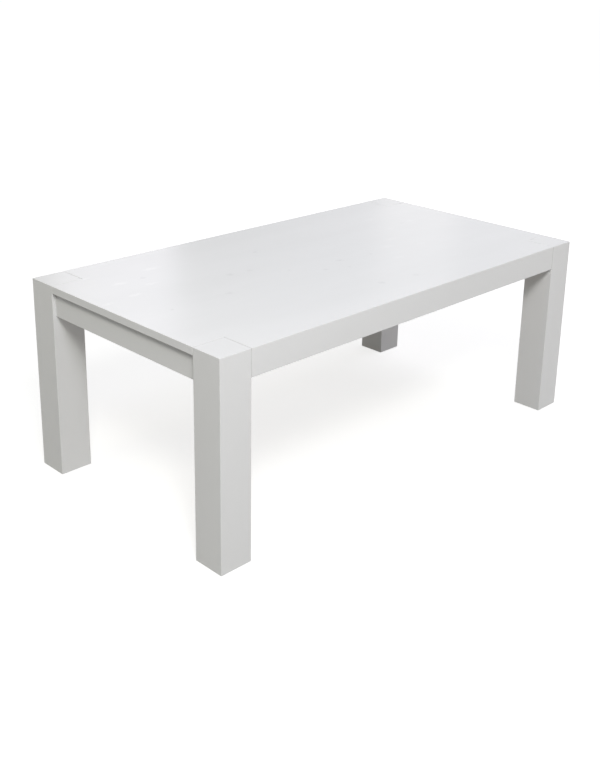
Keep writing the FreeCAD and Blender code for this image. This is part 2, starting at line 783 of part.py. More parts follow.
def leveller_bolt():
    """The front left leveller's bolt: a hexagon head in the pad and a shank up in the leg's insert."""
    bolt = new_body("leveller_bolt")
    put(bolt, "-half_length + leg_centre", "-half_width + leg_centre", "0")
    head = new_sketch(bolt, "head", "XY_Plane", "pad_top - leveller_head_height")
    draw_hexagon(head, "leveller_head_across_flats")
    pad(bolt, "head", head, "leveller_head_height")
    shank = new_sketch(bolt, "shank", "XY_Plane", "pad_top")
    draw_circles(shank, [("0", "0")], "leveller_radius")
    pad(bolt, "shank", shank, "leveller_length")
    return bolt


def leveller_pad():
    """The front left leveller's pad: a round foot with a pocket for the bolt's head."""
    foot = turned("leveller_pad", [
        ("0", "0"),
        ("pad_radius - pad_chamfer", "0"),
        ("pad_radius", "pad_chamfer"),
        ("pad_radius", "pad_height"),
        ("0", "pad_height"),
    ])
    put(foot, "-half_length + leg_centre", "-half_width + leg_centre", "pad_floor_gap")
    pocket_outline = new_sketch(foot, "head_pocket", "XY_Plane", "pad_height")
    draw_hexagon(pocket_outline, "leveller_head_across_flats + 2 * glue_gap")
    pocket(foot, "head_pocket", pocket_outline, "leveller_head_height")
    return foot


# ---------------------------------------------------------------- the table

LEVEL = FreeCAD.Rotation()
HEAD_DOWN = FreeCAD.Rotation(UPWARD, -UPWARD)
HEAD_INWARD = FreeCAD.Rotation(UPWARD, INWARD)
HEAD_TO_BACK = FreeCAD.Rotation(UPWARD, ALONG_Y)
HEAD_TO_RIGHT = FreeCAD.Rotation(UPWARD, ALONG_X)


def along_bolt(corner_sum, extra="0"):
    """The two places on the front left leg's bolt axes where x + y from the corner is a given sum."""
    run = f"({corner_sum}) / 2 + ({extra}) / sqrt(2)"
    heights = [f"top_underside + block_middle {side} bolt_spacing / 2" for side in "+-"]
    x = f"-half_length + {run}"
    y = f"-half_width + {run}"
    return [((x, y, height), HEAD_INWARD) for height in heights]


def block_screw_places():
    """Where the front left corner block's screws sit: two into each rail."""
    heights = [f"top_underside + block_middle {side} block_screw_spacing / 2" for side in "+-"]
    long_rail_x = "-half_length + block_end_on_long_rail"
    long_rail_y = "-half_width + long_rail_thickness + block_screw_grip"
    end_rail_x = "-half_length + end_rail_inner + block_screw_grip"
    end_rail_y = "-half_width + block_end_on_end_rail"
    places = [((long_rail_x, long_rail_y, height), HEAD_TO_BACK) for height in heights]
    places += [((end_rail_x, end_rail_y, height), HEAD_TO_RIGHT) for height in heights]
    return places


def make_corner_hardware():
    """Bolts, washers, nuts and screws of all four corners."""
    washer = turned_ring("one_bolt_washer", "bolt_radius + bolt_clearance", "bolt_washer_radius",
                         "bolt_washer_thickness")
    screw = wood_screw("one_block_screw", "block_screw_grip + block_screw_bite")
    nut_places = along_bolt("block_far_sum", "bolt_washer_thickness")
    return [
        corner_set("hanger_bolts", copies(hanger_bolt(), "bolt", along_bolt("leg_flat_sum"))),
        corner_set("bolt_washers", copies(washer, "bolt_washer", along_bolt("block_far_sum"))),
        corner_set("bolt_nuts", copies(hex_nut(), "nut", nut_places)),
        corner_set("corner_block_screws", copies(screw, "block_screw", block_screw_places())),
    ]


def make_top_fixings():
    """Dowels of the cross rails, the screws and washers into the top, and the clips at both ends."""
    joint_y = "-half_width + long_rail_thickness"
    heights = [f"top_underside - cross_rail_depth / 2 {side} dowel_spacing / 2" for side in "+-"]
    dowel_places = [((x, joint_y, z), HEAD_TO_BACK) for x in CROSS_RAIL_PLACES.values() for z in heights]
    front_dowels = grouped("front_dowels", copies(make_dowel(), "dowel", dowel_places))
    dowels = grouped("cross_rail_dowels", [front_dowels, mirrored(front_dowels, "back_dowels", ALONG_Y)])

    screw = wood_screw("one_top_screw", "top_washer_thickness + top_screw_grip + top_screw_bite")
    ceiling = "top_underside - top_screw_grip"
    spots = [(x, y) for x in CROSS_RAIL_PLACES.values() for y in TOP_SCREW_PLACES]
    washer = turned_ring("one_top_washer", "screw_radius + screw_clearance", "top_washer_radius",
                         "top_washer_thickness")
    washer_places = [((x, y, ceiling), HEAD_DOWN) for x, y in spots]
    screw_places = [((x, y, f"{ceiling} - top_washer_thickness"), HEAD_DOWN) for x, y in spots]
    washers = grouped("top_screw_washers", copies(washer, "top_washer", washer_places))
    screws = grouped("top_screws", copies(screw, "top_screw", screw_places))

    rail_face = "-half_length + end_rail_inner"
    clip_places = [((rail_face, y, "top_underside"), LEVEL) for y in CLIP_PLACES]
    clip_screw_places = [((f"{rail_face} + {CLIP_SCREW_X}", y, "top_underside - clip_thickness"), HEAD_DOWN)
                         for y in CLIP_PLACES]
    left_clips = grouped("left_clips", copies(top_clip(), "clip", clip_places))
    clip_screw = wood_screw("one_clip_screw", "clip_thickness + clip_screw_bite")
    left_clip_screws = grouped("left_clip_screws", copies(clip_screw, "clip_screw", clip_screw_places))
    clips = grouped("top_clips", [left_clips, mirrored(left_clips, "right_clips", ALONG_X)])
    right_clip_screws = mirrored(left_clip_screws, "right_clip_screws", ALONG_X)
    clip_screws = grouped("clip_screws", [left_clip_screws, right_clip_screws])
    return [dowels, washers, screws, clips, clip_screws]


def make_table():
    """Builds every sub-part and returns them."""
    long_rail = make_long_rail()
    end_rail = make_end_rail()
    tongue = make_tongue()
    parts = [make_top_panel(), long_rail, mirrored(long_rail, "back_long_rail", ALONG_Y)]
    parts += [end_rail, mirrored(end_rail, "right_end_rail", ALONG_X)]
    parts += [tongue, mirrored(tongue, "back_mitre_tongue", ALONG_Y)]
    parts += [make_cross_rail(side, x) for side, x in CROSS_RAIL_PLACES.items()]
    parts += four_corners(make_leg(), "leg")
    parts += four_corners(make_corner_block(), "corner_block")
    parts += make_corner_hardware()
    parts += make_top_fixings()
    insert = turned_ring("one_insert", "leveller_radius + thread_gap", "insert_radius", "insert_length")
    insert_places = [(("-half_length + leg_centre", "-half_width + leg_centre", "recess_depth"), LEVEL)]
    parts.append(corner_set("threaded_inserts", copies(insert, "insert", insert_places)))
    parts += four_corners(leveller_bolt(), "leveller_bolt")
    parts += four_corners(leveller_pad(), "leveller_pad")
    return parts


def check(parts):
    """Stops if any object failed or any sub-part has no sound shape."""
    for thing in doc.Objects:
        if {"Invalid", "Error"} & set(thing.State):
            raise RuntimeError(f"{thing.Name} failed: {thing.State}")
    for part in parts:
        if part.Shape.isNull() or not part.Shape.isValid():
            raise RuntimeError(f"{part.Label} has no sound shape")


table = make_table()
doc.recompute()
check(table)
os.makedirs("parts", exist_ok=True)
for part in table:
    part.Shape.exportStep(f"parts/{part.Label}.step")
    print(f"{part.Label}: {len(part.Shape.Solids)} solids, {part.Shape.Volume / 1000:.1f} cm3")
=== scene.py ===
"""Dresses a parsons dining table: its finishes and fixings, and the floor, lamps and camera round it.

Lengths are in metres. X runs along the table, Y across it from front to back, and Z up from the floor.
"""

import logging
import math
from abc import ABC, abstractmethod
from collections.abc import Callable, Sequence
from dataclasses import dataclass
from enum import Enum

import bmesh
import bpy
from mathutils import Matrix, Vector


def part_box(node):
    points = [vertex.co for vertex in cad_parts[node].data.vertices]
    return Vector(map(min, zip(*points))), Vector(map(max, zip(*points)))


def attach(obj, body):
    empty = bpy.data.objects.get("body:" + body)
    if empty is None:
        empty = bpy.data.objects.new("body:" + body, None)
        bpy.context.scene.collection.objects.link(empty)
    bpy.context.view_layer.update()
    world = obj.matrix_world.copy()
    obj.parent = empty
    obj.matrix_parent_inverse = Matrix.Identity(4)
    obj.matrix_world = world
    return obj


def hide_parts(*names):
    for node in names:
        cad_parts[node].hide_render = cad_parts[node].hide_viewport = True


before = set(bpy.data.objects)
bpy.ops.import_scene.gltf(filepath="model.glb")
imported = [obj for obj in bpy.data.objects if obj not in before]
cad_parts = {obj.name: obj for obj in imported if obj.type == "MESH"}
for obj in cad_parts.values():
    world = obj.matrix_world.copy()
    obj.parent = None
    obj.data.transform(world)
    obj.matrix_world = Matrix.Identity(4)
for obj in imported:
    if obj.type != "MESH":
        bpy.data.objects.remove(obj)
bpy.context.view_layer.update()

LOG = logging.getLogger("parsons_table")
TABLE_BODY = "table"
ALONG = Vector((1, 0, 0))
UP = Vector((0, 0, 1))
DIAGONAL = math.sqrt(0.5)

Pair = tuple[float, float]
Triple = tuple[float, float, float]
Colour = Triple


# ---- shader graphs


def operator_pair(operation: str) -> tuple[Callable, Callable]:
    """Makes an operator of a signal that adds a Math node.

    Args:
        operation: The node's operation.

    Returns:
        The operator and its reflected form.
    """

    def forward(self: "Signal", other: "Signal | float") -> "Signal":
        """Works on the signal and a term after it."""
        return self.graph.math(operation, self, other)

    def reflected(self: "Signal", other: float) -> "Signal":
        """Works on a number and the signal after it."""
        return self.graph.math(operation, other, self)

    return forward, reflected


class Signal:
    """The output of a shader node, with arithmetic that adds Math nodes."""

    __add__, __radd__ = operator_pair("ADD")
    __sub__, __rsub__ = operator_pair("SUBTRACT")
    __mul__, __rmul__ = operator_pair("MULTIPLY")
    __truediv__, __rtruediv__ = operator_pair("DIVIDE")

    def __init__(self, graph: "Graph", socket: bpy.types.NodeSocket | None) -> None:
        """Wraps one output socket of a graph."""
        self.graph = graph
        self.socket = socket

    def __abs__(self) -> "Signal":
        """Drops the sign."""
        return self.graph.math("ABSOLUTE", self)

    def sine(self) -> "Signal":
        """Takes the sine."""
        return self.graph.math("SINE", self)

    def floor(self) -> "Signal":
        """Rounds down."""
        return self.graph.math("FLOOR", self)

    def least(self, other: "Signal | float") -> "Signal":
        """Takes the smaller of two terms."""
        return self.graph.math("MINIMUM", self, other)

    def greatest(self, other: "Signal | float") -> "Signal":
        """Takes the larger of two terms."""
        return self.graph.math("MAXIMUM", self, other)

    def rise(self, low: float, high: float) -> "Signal":
        """Rises smoothly from 0 at low to 1 at high."""
        inputs = {"Value": self, "From Min": low, "From Max": high}
        return self.graph.add("ShaderNodeMapRange", {"interpolation_type": "SMOOTHSTEP"}, inputs)

    def fall(self, low: float, high: float) -> "Signal":
        """Falls smoothly from 1 at low to 0 at high."""
        return 1.0 - self.rise(low, high)

    def swing(self, size: float) -> "Signal":
        """Turns a noise about 0.5 into one about 0, times a size."""
        return (self - 0.5) * size

    def other(self, output: str) -> "Signal":
        """Another output of the same node."""
        return Signal(self.graph, Graph.pick(self.socket.node.outputs, output))


@dataclass(frozen=True)
class Figure:
    """A noise: its lumps to a metre on each axis, its finer layers, and how far it is drawn out of line."""

    scale: Triple
    detail: float = 2.0
    distortion: float = 0.0


class Graph:
    """The node tree of a material or of the world."""

    def __init__(self, tree: bpy.types.NodeTree) -> None:
        """Takes over a tree and empties it."""
        self.tree = tree
        tree.nodes.clear()

    @staticmethod
    def pick(sockets: bpy.types.bpy_prop_collection, key: str | int | None) -> bpy.types.NodeSocket | None:
        """Picks a socket.

        Args:
            sockets: The inputs or outputs of a node.
            key: A name, an index, or None for the first.

        Returns:
            The first socket in use that answers to the key, or None without one.
        """
        if isinstance(key, int):
            return sockets[key]
        return next((one for one in sockets if one.enabled and key in (None, one.name)), None)

    def add(self, kind: str, settings: dict, inputs: dict, output: str | None = None) -> Signal:
        """Adds a node.

        Args:
            kind: The node's type.
            settings: Its own settings, set before its inputs.
            inputs: A number, a colour or a signal for each input, by name or index.
            output: The name of the output to give, or None for the first.

        Returns:
            That output. A node that ends the graph has none, and its signal is empty.
        """
        node = self.tree.nodes.new(kind)
        for name, setting in settings.items():
            setattr(node, name, setting)
        for key, content in inputs.items():
            socket = self.pick(node.inputs, key)
            if isinstance(content, Signal):
                self.tree.links.new(content.socket, socket)
            else:
                socket.default_value = content
        return Signal(self, self.pick(node.outputs, output))

    def math(self, operation: str, *terms: Signal | float) -> Signal:
        """Adds a Math node on the given terms."""
        return self.add("ShaderNodeMath", {"operation": operation}, dict(enumerate(terms)))

    def vector(self, operation: str, *terms: Signal | Triple) -> Signal:
        """Adds a Vector Math node on the given terms."""
        output = "Value" if operation in ("DOT_PRODUCT", "LENGTH") else "Vector"
        return self.add("ShaderNodeVectorMath", {"operation": operation}, dict(enumerate(terms)), output)

    def join(self, x: Signal | float, y: Signal | float, z: Signal | float) -> Signal:
        """Joins three numbers into a vector."""
        return self.add("ShaderNodeCombineXYZ", {}, {"X": x, "Y": y, "Z": z})

    def axes(self, vector: Signal) -> tuple[Signal, Signal, Signal]:
        """The three numbers of a vector."""
        first = self.add("ShaderNodeSeparateXYZ", {}, {"Vector": vector}, "X")
        return first, first.other("Y"), first.other("Z")

    def place(self) -> Signal:
        """The place on the object, in metres of the table's own frame."""
        return self.add("ShaderNodeTexCoord", {}, {}, "Object")

    def lie(self) -> Signal:
        """How a surface lies: 1 where it faces up, 0 where it is upright, -1 where it faces down."""
        return self.axes(self.add("ShaderNodeNewGeometry", {}, {}, "Normal"))[2]

    def noise(self, vector: Signal, figure: Figure) -> Signal:
        """Adds a noise.

        Args:
            vector: The place that it follows.
            figure: What it looks like.

        Returns:
            A number about 0.5.
        """
        return self.add("ShaderNodeTexNoise", {}, {
            "Vector": self.vector("MULTIPLY", vector, figure.scale),
            "Scale": 1.0,
            "Detail": figure.detail,
            "Distortion": figure.distortion,
        })

    def blend(self, factor: Signal | float, first: Signal | Colour, second: Signal | Colour) -> Signal:
        """Blends two colours.

        Args:
            factor: 0 for the first colour, 1 for the second.
            first: A colour or a signal.
            second: A colour or a signal.

        Returns:
            The blended colour.
        """
        colours = [part if isinstance(part, Signal) else (*part, 1.0) for part in (first, second)]
        inputs = {"Factor": factor, "A": colours[0], "B": colours[1]}
        return self.add("ShaderNodeMix", {"data_type": "RGBA"}, inputs, "Result")

    def bump(self, height: Signal) -> Signal:
        """Turns a height in metres into a normal."""
        return self.add("ShaderNodeBump", {}, {"Strength": 1.0, "Distance": 1.0, "Height": height}, "Normal")

    def seen_directly(self) -> Signal:
        """Is 1 for a ray from the camera, a mirror or a glass, and 0 for the rest."""
        camera = self.add("ShaderNodeLightPath", {}, {}, "Is Camera Ray")
        return camera.greatest(camera.other("Is Glossy Ray")).greatest(camera.other("Is Transmission Ray"))


# ---- finishes


class Grain(Enum):
    """Which way the fibres run: three unit vectors, along them, across them and through the board."""

    LENGTH = ((1.0, 0.0, 0.0), (0.0, 1.0, 0.0), (0.0, 0.0, 1.0))
    WIDTH = ((0.0, 1.0, 0.0), (1.0, 0.0, 0.0), (0.0, 0.0, 1.0))
    HEIGHT = ((0.0, 0.0, 1.0), (1.0, 0.0, 0.0), (0.0, 1.0, 0.0))
    FALLING = ((DIAGONAL, -DIAGONAL, 0.0), (DIAGONAL, DIAGONAL, 0.0), (0.0, 0.0, 1.0))
    RISING = ((DIAGONAL, DIAGONAL, 0.0), (DIAGONAL, -DIAGONAL, 0.0), (0.0, 0.0, 1.0))

    def follow(self, graph: Graph, shift: float) -> Signal:
        """Gives the place in the board's own directions.

        Args:
            graph: The graph to build in.
            shift: How far the figure is moved, so that no two boards match.

        Returns:
            A vector of the distances along, across and through the board.
        """
        place = graph.place()
        along, across, through = (graph.vector("DOT_PRODUCT", place, axis) for axis in self.value)
        return graph.join(along + shift, across + shift, through)


@dataclass(frozen=True)
class Finish(ABC):
    """A finish that can be made into a material."""

    def make(self, name: str) -> bpy.types.Material:
        """Makes the material.

        Args:
            name: Its name.

        Returns:
            The material.
        """
        material = bpy.data.materials.new(name)
        material.use_nodes = True
        graph = Graph(material.node_tree)
        graph.add("ShaderNodeOutputMaterial", {}, {"Surface": self.surface(graph)})
        return material

    @abstractmethod
    def surface(self, graph: Graph) -> Signal:
        """Builds the shader."""


@dataclass(frozen=True)
class Mark:
    """A small dent or rub in the paint of the top; a dent is darkened with painted shade and a rub lightened
    with painted sheen.
    """

    x: float
    y: float
    length: float
    width: float
    depth: float
    tone: Colour
    strength: float

    def shape(self, graph: Graph, place: Signal) -> Signal:
        """Gives the mark its outline.

        Args:
            graph: The graph to build in.
            place: The place on the top.

        Returns:
            1 in the middle of the mark, falling to 0 at its rim.
        """
        offset = graph.vector("SUBTRACT", place, (self.x, self.y, 0.0))
        scaled = graph.vector("MULTIPLY", offset, (2 / self.length, 2 / self.width, 0.0))
        return graph.vector("LENGTH", scaled).fall(0.0, 1.0)


@dataclass(frozen=True)
class PaintedWood(Finish):
    """Smooth, thin white paint, rubbed back a little on the arrises."""

    node: str
    grain: Grain
    shift: float
    marks: tuple[Mark, ...] = ()
    bare_below: bool = False
    paint_low: Colour = (0.795, 0.797, 0.797)
    paint_high: Colour = (0.812, 0.814, 0.815)
    ground: Colour = (0.56, 0.52, 0.46)
    # Dark colour for dirt in the joints, also used for the painted shade under the top's overhang.
    dirt_and_shade: Colour = (0.30, 0.29, 0.28)
    cloud: Figure = Figure((1.1, 5.0, 5.0), 3.0)
    fibre: Figure = Figure((5.0, 130.0, 130.0), 4.0, 0.3)
    fibre_height: float = 1.0e-6
    ripple: Figure = Figure((20.0, 24.0, 24.0), 1.0)
    ripple_height: float = 1.6e-4
    roughness: float = 0.262
    ripple_roughness: float = 0.03
    rub_gloss: float = 0.04
    rub_width: float = 0.0035
    rub_strength: float = 0.10
    thin_strength: float = 0.012
    seam_width: float = 0.0024
    seam_bridging: float = 0.9
    seam_filling: float = 0.45
    seam_strength: float = 0.80
    # Painted shade under the top's overhang: how far down the end rails it reaches, and how dark it gets.
    painted_lip_shade_width: float = 0.034
    painted_lip_shade_strength: float = 0.48
    stray: Figure = Figure((55.0, 55.0, 55.0))
    stray_reach: Triple = (0.040, 0.030, 0.0)
    stave_width: float = 0.118
    stave_shift: float = 9.0
    stave_figure: Figure = Figure((2.2, 60.0, 60.0), 5.0, 0.8)
    stave_dark: Colour = (0.62, 0.53, 0.41)
    stave_pale: Colour = (0.76, 0.70, 0.60)
    coat: float = 0.52
    coat_spread: float = 0.3
    joint_share: Pair = (0.002, 0.007)
    joint_strength: float = 0.55
    joint_depth: float = 1.5e-4

    def edge(self, graph: Graph) -> Signal:
        """Measures the way to the board's edges.

        Args:
            graph: The graph to build in.

        Returns:
            How far a place is from the board's nearest outer edge, in metres.
        """
        low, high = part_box(self.node)
        gaps = []
        for number, lowest, highest in zip(graph.axes(graph.place()), low, high):
            gaps.append((highest - lowest) / 2 - abs(number - (lowest + highest) / 2))
        first, second, third = gaps
        return first.least(second).greatest(first.greatest(second).least(third))

    def seams(self, graph: Graph) -> Signal:
        """Finds the joints between the legs and the boards round them.

        Paint nearly bridges those on the top, apart from the front left ones, and half fills the others.

        Args:
            graph: The graph to build in.

        Returns:
            1 in an open joint, less in a painted one, and 0 elsewhere.
        """
        x, y, z = graph.axes(graph.place())
        leg_x, leg_y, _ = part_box("back_right_leg")[0]
        rail_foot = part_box("back_long_rail")[0][2]
        top_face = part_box("top_panel")[1][2]
        step = self.seam_width
        lengthwise = abs(abs(x) - leg_x).fall(0.0, step) * abs(y).rise(leg_y - step, leg_y)
        crosswise = abs(abs(y) - leg_y).fall(0.0, step) * abs(x).rise(leg_x - step, leg_x)
        on_top = z.rise(top_face - step, top_face)
        open_corner = x.fall(-step, step) * y.fall(-step, step)
        joints = (lengthwise * z.rise(rail_foot - step, rail_foot)).greatest(crosswise * on_top)
        bridged = on_top * (1.0 - open_corner) * self.seam_bridging
        return joints * (1.0 - (bridged + (1.0 - on_top) * self.seam_filling))

    def painted_lip_shade(self, graph: Graph) -> Signal:
        """Finds where the end rails are darkened with painted shade, just under the top's overhang.

        Args:
            graph: The graph to build in.

        Returns:
            1 in such a corner, fading out down the rail.
        """
        x, y, z = graph.axes(graph.place())
        rail_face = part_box("right_end_rail")[1][0]
        leg_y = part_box("back_right_leg")[0][1]
        top_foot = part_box("top_panel")[0][2]
        reach = self.painted_lip_shade_width
        outside = abs(x).rise(rail_face - reach, rail_face) * abs(y).fall(leg_y - self.seam_width, leg_y)
        return outside * z.rise(top_foot - reach, top_foot) * z.fall(top_foot, top_foot + self.seam_width)

    def surface(self, graph: Graph) -> Signal:
        """Builds the paint: slow clouds of tone, faint fibres, ripples, rubbed arrises, seams, painted shade
        under the top's overhang, and marks.

        Args:
            graph: The graph to build in.

        Returns:
            The shader.
        """
        board = self.grain.follow(graph, self.shift)
        cloud = graph.noise(board, self.cloud)
        fibre = graph.noise(board, self.fibre)
        ripple = graph.noise(board, self.ripple)
        thin = fibre.rise(0.56, 0.74) * cloud.rise(0.35, 0.65)
        rubbed = self.edge(graph).fall(0.0, self.rub_width) * fibre.rise(0.38, 0.62)
        colour = graph.blend(cloud.rise(0.3, 0.7), self.paint_low, self.paint_high)
        colour = graph.blend(thin * self.thin_strength, colour, self.ground)
        colour = graph.blend(rubbed * self.rub_strength, colour, self.ground)
        colour = graph.blend(self.seams(graph) * self.seam_strength, colour, self.dirt_and_shade)
        # Painted shade: the end rails darken just under the top's overhang.
        colour = graph.blend(self.painted_lip_shade(graph) * self.painted_lip_shade_strength, colour, self.dirt_and_shade)
        height = fibre.swing(self.fibre_height) + ripple.swing(self.ripple_height)
        if self.bare_below:
            colour, height = self.underside(graph, board, colour, height)
        if self.marks:
            colour, height = self.marked(graph, colour, height)
        return graph.add("ShaderNodeBsdfPrincipled", {}, {
            "Base Color": colour,
            "Roughness": self.roughness + ripple.swing(self.ripple_roughness) - rubbed * self.rub_gloss,
            "IOR": 1.46,
            "Specular IOR Level": 0.25,
            "Normal": graph.bump(height),
        })

    def marked(self, graph: Graph, colour: Signal, height: Signal) -> tuple[Signal, Signal]:
        """Presses the marks into the paint, with outlines that stray.

        Args:
            graph: The graph to build in.
            colour: The paint's colour so far.
            height: The paint's height so far.

        Returns:
            The colour and height with the marks.
        """
        place = graph.place()
        stray = graph.vector("SUBTRACT", graph.noise(place, self.stray).other("Color"), (0.5, 0.5, 0.5))
        place = graph.vector("ADD", place, graph.vector("MULTIPLY", stray, self.stray_reach))
        above = graph.lie().rise(0.5, 0.9)
        for mark in self.marks:
            shape = mark.shape(graph, place) * above
            # Painted shade darkens the dents and painted sheen lightens the rubs.
            colour = graph.blend(shape * mark.strength, colour, mark.tone)
            height = height - shape * mark.depth
        return colour, height

    def underside(self, graph: Graph, board: Signal, colour: Signal,
                  height: Signal) -> tuple[Signal, Signal]:
        """Gives the lower face a single thin coat, through which its staves and their joints show.

        Args:
            graph: The graph to build in.
            board: The place in the board's own directions.
            colour: The paint's colour so far.
            height: The paint's height so far.

        Returns:
            The colour and height with the underside.
        """
        below = graph.lie().fall(-0.9, -0.5)
        across = graph.axes(board)[1] / self.stave_width
        stave = across.floor()
        tone = graph.add("ShaderNodeTexWhiteNoise", {"noise_dimensions": "1D"}, {"W": stave})
        joint = (0.5 - abs(across - stave - 0.5)).fall(*self.joint_share)
        shifted = graph.vector("ADD", board, graph.join(tone * self.stave_shift, 0.0, 0.0))
        figure = graph.noise(shifted, self.stave_figure)
        wood = graph.blend(figure.rise(0.3, 0.7), self.stave_dark, self.stave_pale)
        coated = graph.blend(self.coat + tone.swing(self.coat_spread), wood, colour)
        coated = graph.blend(joint * self.joint_strength, coated, self.dirt_and_shade)
        return graph.blend(below, colour, coated), height - joint * below * self.joint_depth


@dataclass(frozen=True)
class PlanedWood(Finish):
    """Unfinished planed wood, cut from a log whose heart lies beside the board."""

    grain: Grain
    shift: float
    early: Colour = (0.66, 0.50, 0.33)
    late: Colour = (0.47, 0.32, 0.19)
    pale: Colour = (0.74, 0.60, 0.43)
    heart_across: float = 0.13
    heart_through: float = -0.09
    wander: Figure = Figure((1.6, 7.0, 7.0), 3.0)
    wander_reach: float = 0.02
    growth: Figure = Figure((75.0, 1.0, 1.0))
    growth_spread: float = 0.009
    ring_pitch: float = 0.0042
    ring_depth: float = 1.2e-5
    ring_strength: float = 0.85
    fibre: Figure = Figure((9.0, 420.0, 420.0), 4.0)
    fibre_height: float = 3.0e-5
    fibre_strength: float = 0.35
    cloud: Figure = Figure((2.0, 10.0, 10.0))
    cloud_strength: float = 0.25
    knife_pitch: float = 0.0021
    knife_height: float = 4.0e-6

    def surface(self, graph: Graph) -> Signal:
        """Builds the rings, fibres and planer's knife marks.

        Args:
            graph: The graph to build in.

        Returns:
            The shader.
        """
        board = self.grain.follow(graph, self.shift)
        along, across, through = graph.axes(board)
        wander = graph.noise(board, self.wander).swing(self.wander_reach)
        heart = graph.join(0.0, across - self.shift - self.heart_across, through - self.heart_through)
        radius = graph.vector("LENGTH", heart) + wander
        growth = graph.noise(graph.join(radius, 0.0, 0.0), self.growth)
        seasons = radius + growth.swing(self.growth_spread)
        ring = (seasons * (2 * math.pi / self.ring_pitch)).sine() * 0.5 + 0.5
        fibre = graph.noise(board, self.fibre)
        cloud = graph.noise(board, self.cloud)
        dark = ring.rise(0.35, 1.0) * growth.rise(0.25, 0.75) * self.ring_strength
        colour = graph.blend(dark, self.early, self.late)
        colour = graph.blend(fibre.rise(0.5, 0.75) * self.fibre_strength, colour, self.late)
        colour = graph.blend(cloud.rise(0.4, 0.8) * self.cloud_strength, colour, self.pale)
        knife = (along * (2 * math.pi / self.knife_pitch)).sine() * cloud.rise(0.3, 0.7)
        height = knife * self.knife_height + fibre.swing(self.fibre_height) - ring * self.ring_depth
        return graph.add("ShaderNodeBsdfPrincipled", {}, {
            "Base Color": colour,
            "Roughness": 0.62 + fibre.swing(0.2),
            "Specular IOR Level": 0.35,
            "Normal": graph.bump(height),
        })


@dataclass(frozen=True)
class BeechJoint(Finish):
    """Pale close-grained beech with its short dark flecks."""

    grain: Grain
    pale: Colour = (0.72, 0.55, 0.38)
    dark: Colour = (0.50, 0.33, 0.20)
    fleck: Figure = Figure((260.0, 1500.0, 1500.0), 1.0)
    fleck_strength: float = 0.6
    pore: Figure = Figure((60.0, 2600.0, 2600.0))
    pore_height: float = 2.0e-5

    def surface(self, graph: Graph) -> Signal:
        """Builds the flecks and pores.

        Args:
            graph: The graph to build in.

        Returns:
            The shader.
        """
        board = self.grain.follow(graph, 0.0)
        fleck = graph.noise(board, self.fleck).rise(0.58, 0.70)
        pore = graph.noise(board, self.pore)
        return graph.add("ShaderNodeBsdfPrincipled", {}, {
            "Base Color": graph.blend(fleck * self.fleck_strength, self.pale, self.dark),
            "Roughness": 0.55 + pore.swing(0.2),
            "Normal": graph.bump(pore.swing(self.pore_height)),
        })


@dataclass(frozen=True)
class ZincPlate(Finish):
    """Bright zinc plate on steel, with its faint cool and straw tints."""

    cool: Colour = (0.60, 0.63, 0.67)
    straw: Colour = (0.69, 0.67, 0.61)
    tint: Figure = Figure((90.0, 90.0, 90.0))
    crystal: Figure = Figure((1400.0, 1400.0, 1400.0))
    crystal_height: float = 6.0e-6
    scratch: Figure = Figure((300.0, 5000.0, 5000.0), 1.0)
    scratch_height: float = 3.0e-6

    def surface(self, graph: Graph) -> Signal:
        """Builds the tints, the soft crystals of the plate and its fine scratches.

        Args:
            graph: The graph to build in.

        Returns:
            The shader.
        """
        place = graph.place()
        tint = graph.noise(place, self.tint)
        crystal = graph.noise(place, self.crystal)
        scratch = graph.noise(place, self.scratch)
        return graph.add("ShaderNodeBsdfPrincipled", {}, {
            "Base Color": graph.blend(tint.rise(0.35, 0.65), self.cool, self.straw),
            "Metallic": 1.0,
            "Roughness": 0.30 + crystal.swing(0.25) + tint.swing(0.2),
            "Normal": graph.bump(crystal.swing(self.crystal_height) + scratch.swing(self.scratch_height)),
        })


@dataclass(frozen=True)
class MouldedNylon(Finish):
    """Black nylon with the fine spark texture of its mould, scuffed grey where it rubs."""

    black: Colour = (0.045, 0.045, 0.048)
    scuffed: Colour = (0.16, 0.16, 0.16)
    spark: Figure = Figure((2200.0, 2200.0, 2200.0), 3.0)
    spark_height: float = 1.6e-5
    scuff: Figure = Figure((240.0, 900.0, 240.0), 3.0)
    scuff_beside: float = 0.2
    scuff_below: float = 0.5

    def surface(self, graph: Graph) -> Signal:
        """Builds the mould's texture and the scuffs.

        Args:
            graph: The graph to build in.

        Returns:
            The shader.
        """
        place = graph.place()
        spark = graph.noise(place, self.spark)
        scuff = graph.noise(place, self.scuff).rise(0.55, 0.72)
        below = graph.lie().fall(-0.9, -0.3)
        worn = scuff * (self.scuff_beside + below * self.scuff_below)
        return graph.add("ShaderNodeBsdfPrincipled", {}, {
            "Base Color": graph.blend(worn, self.black, self.scuffed),
            "Roughness": 0.48 + spark.swing(0.3),
            "Normal": graph.bump(spark.swing(self.spark_height)),
        })


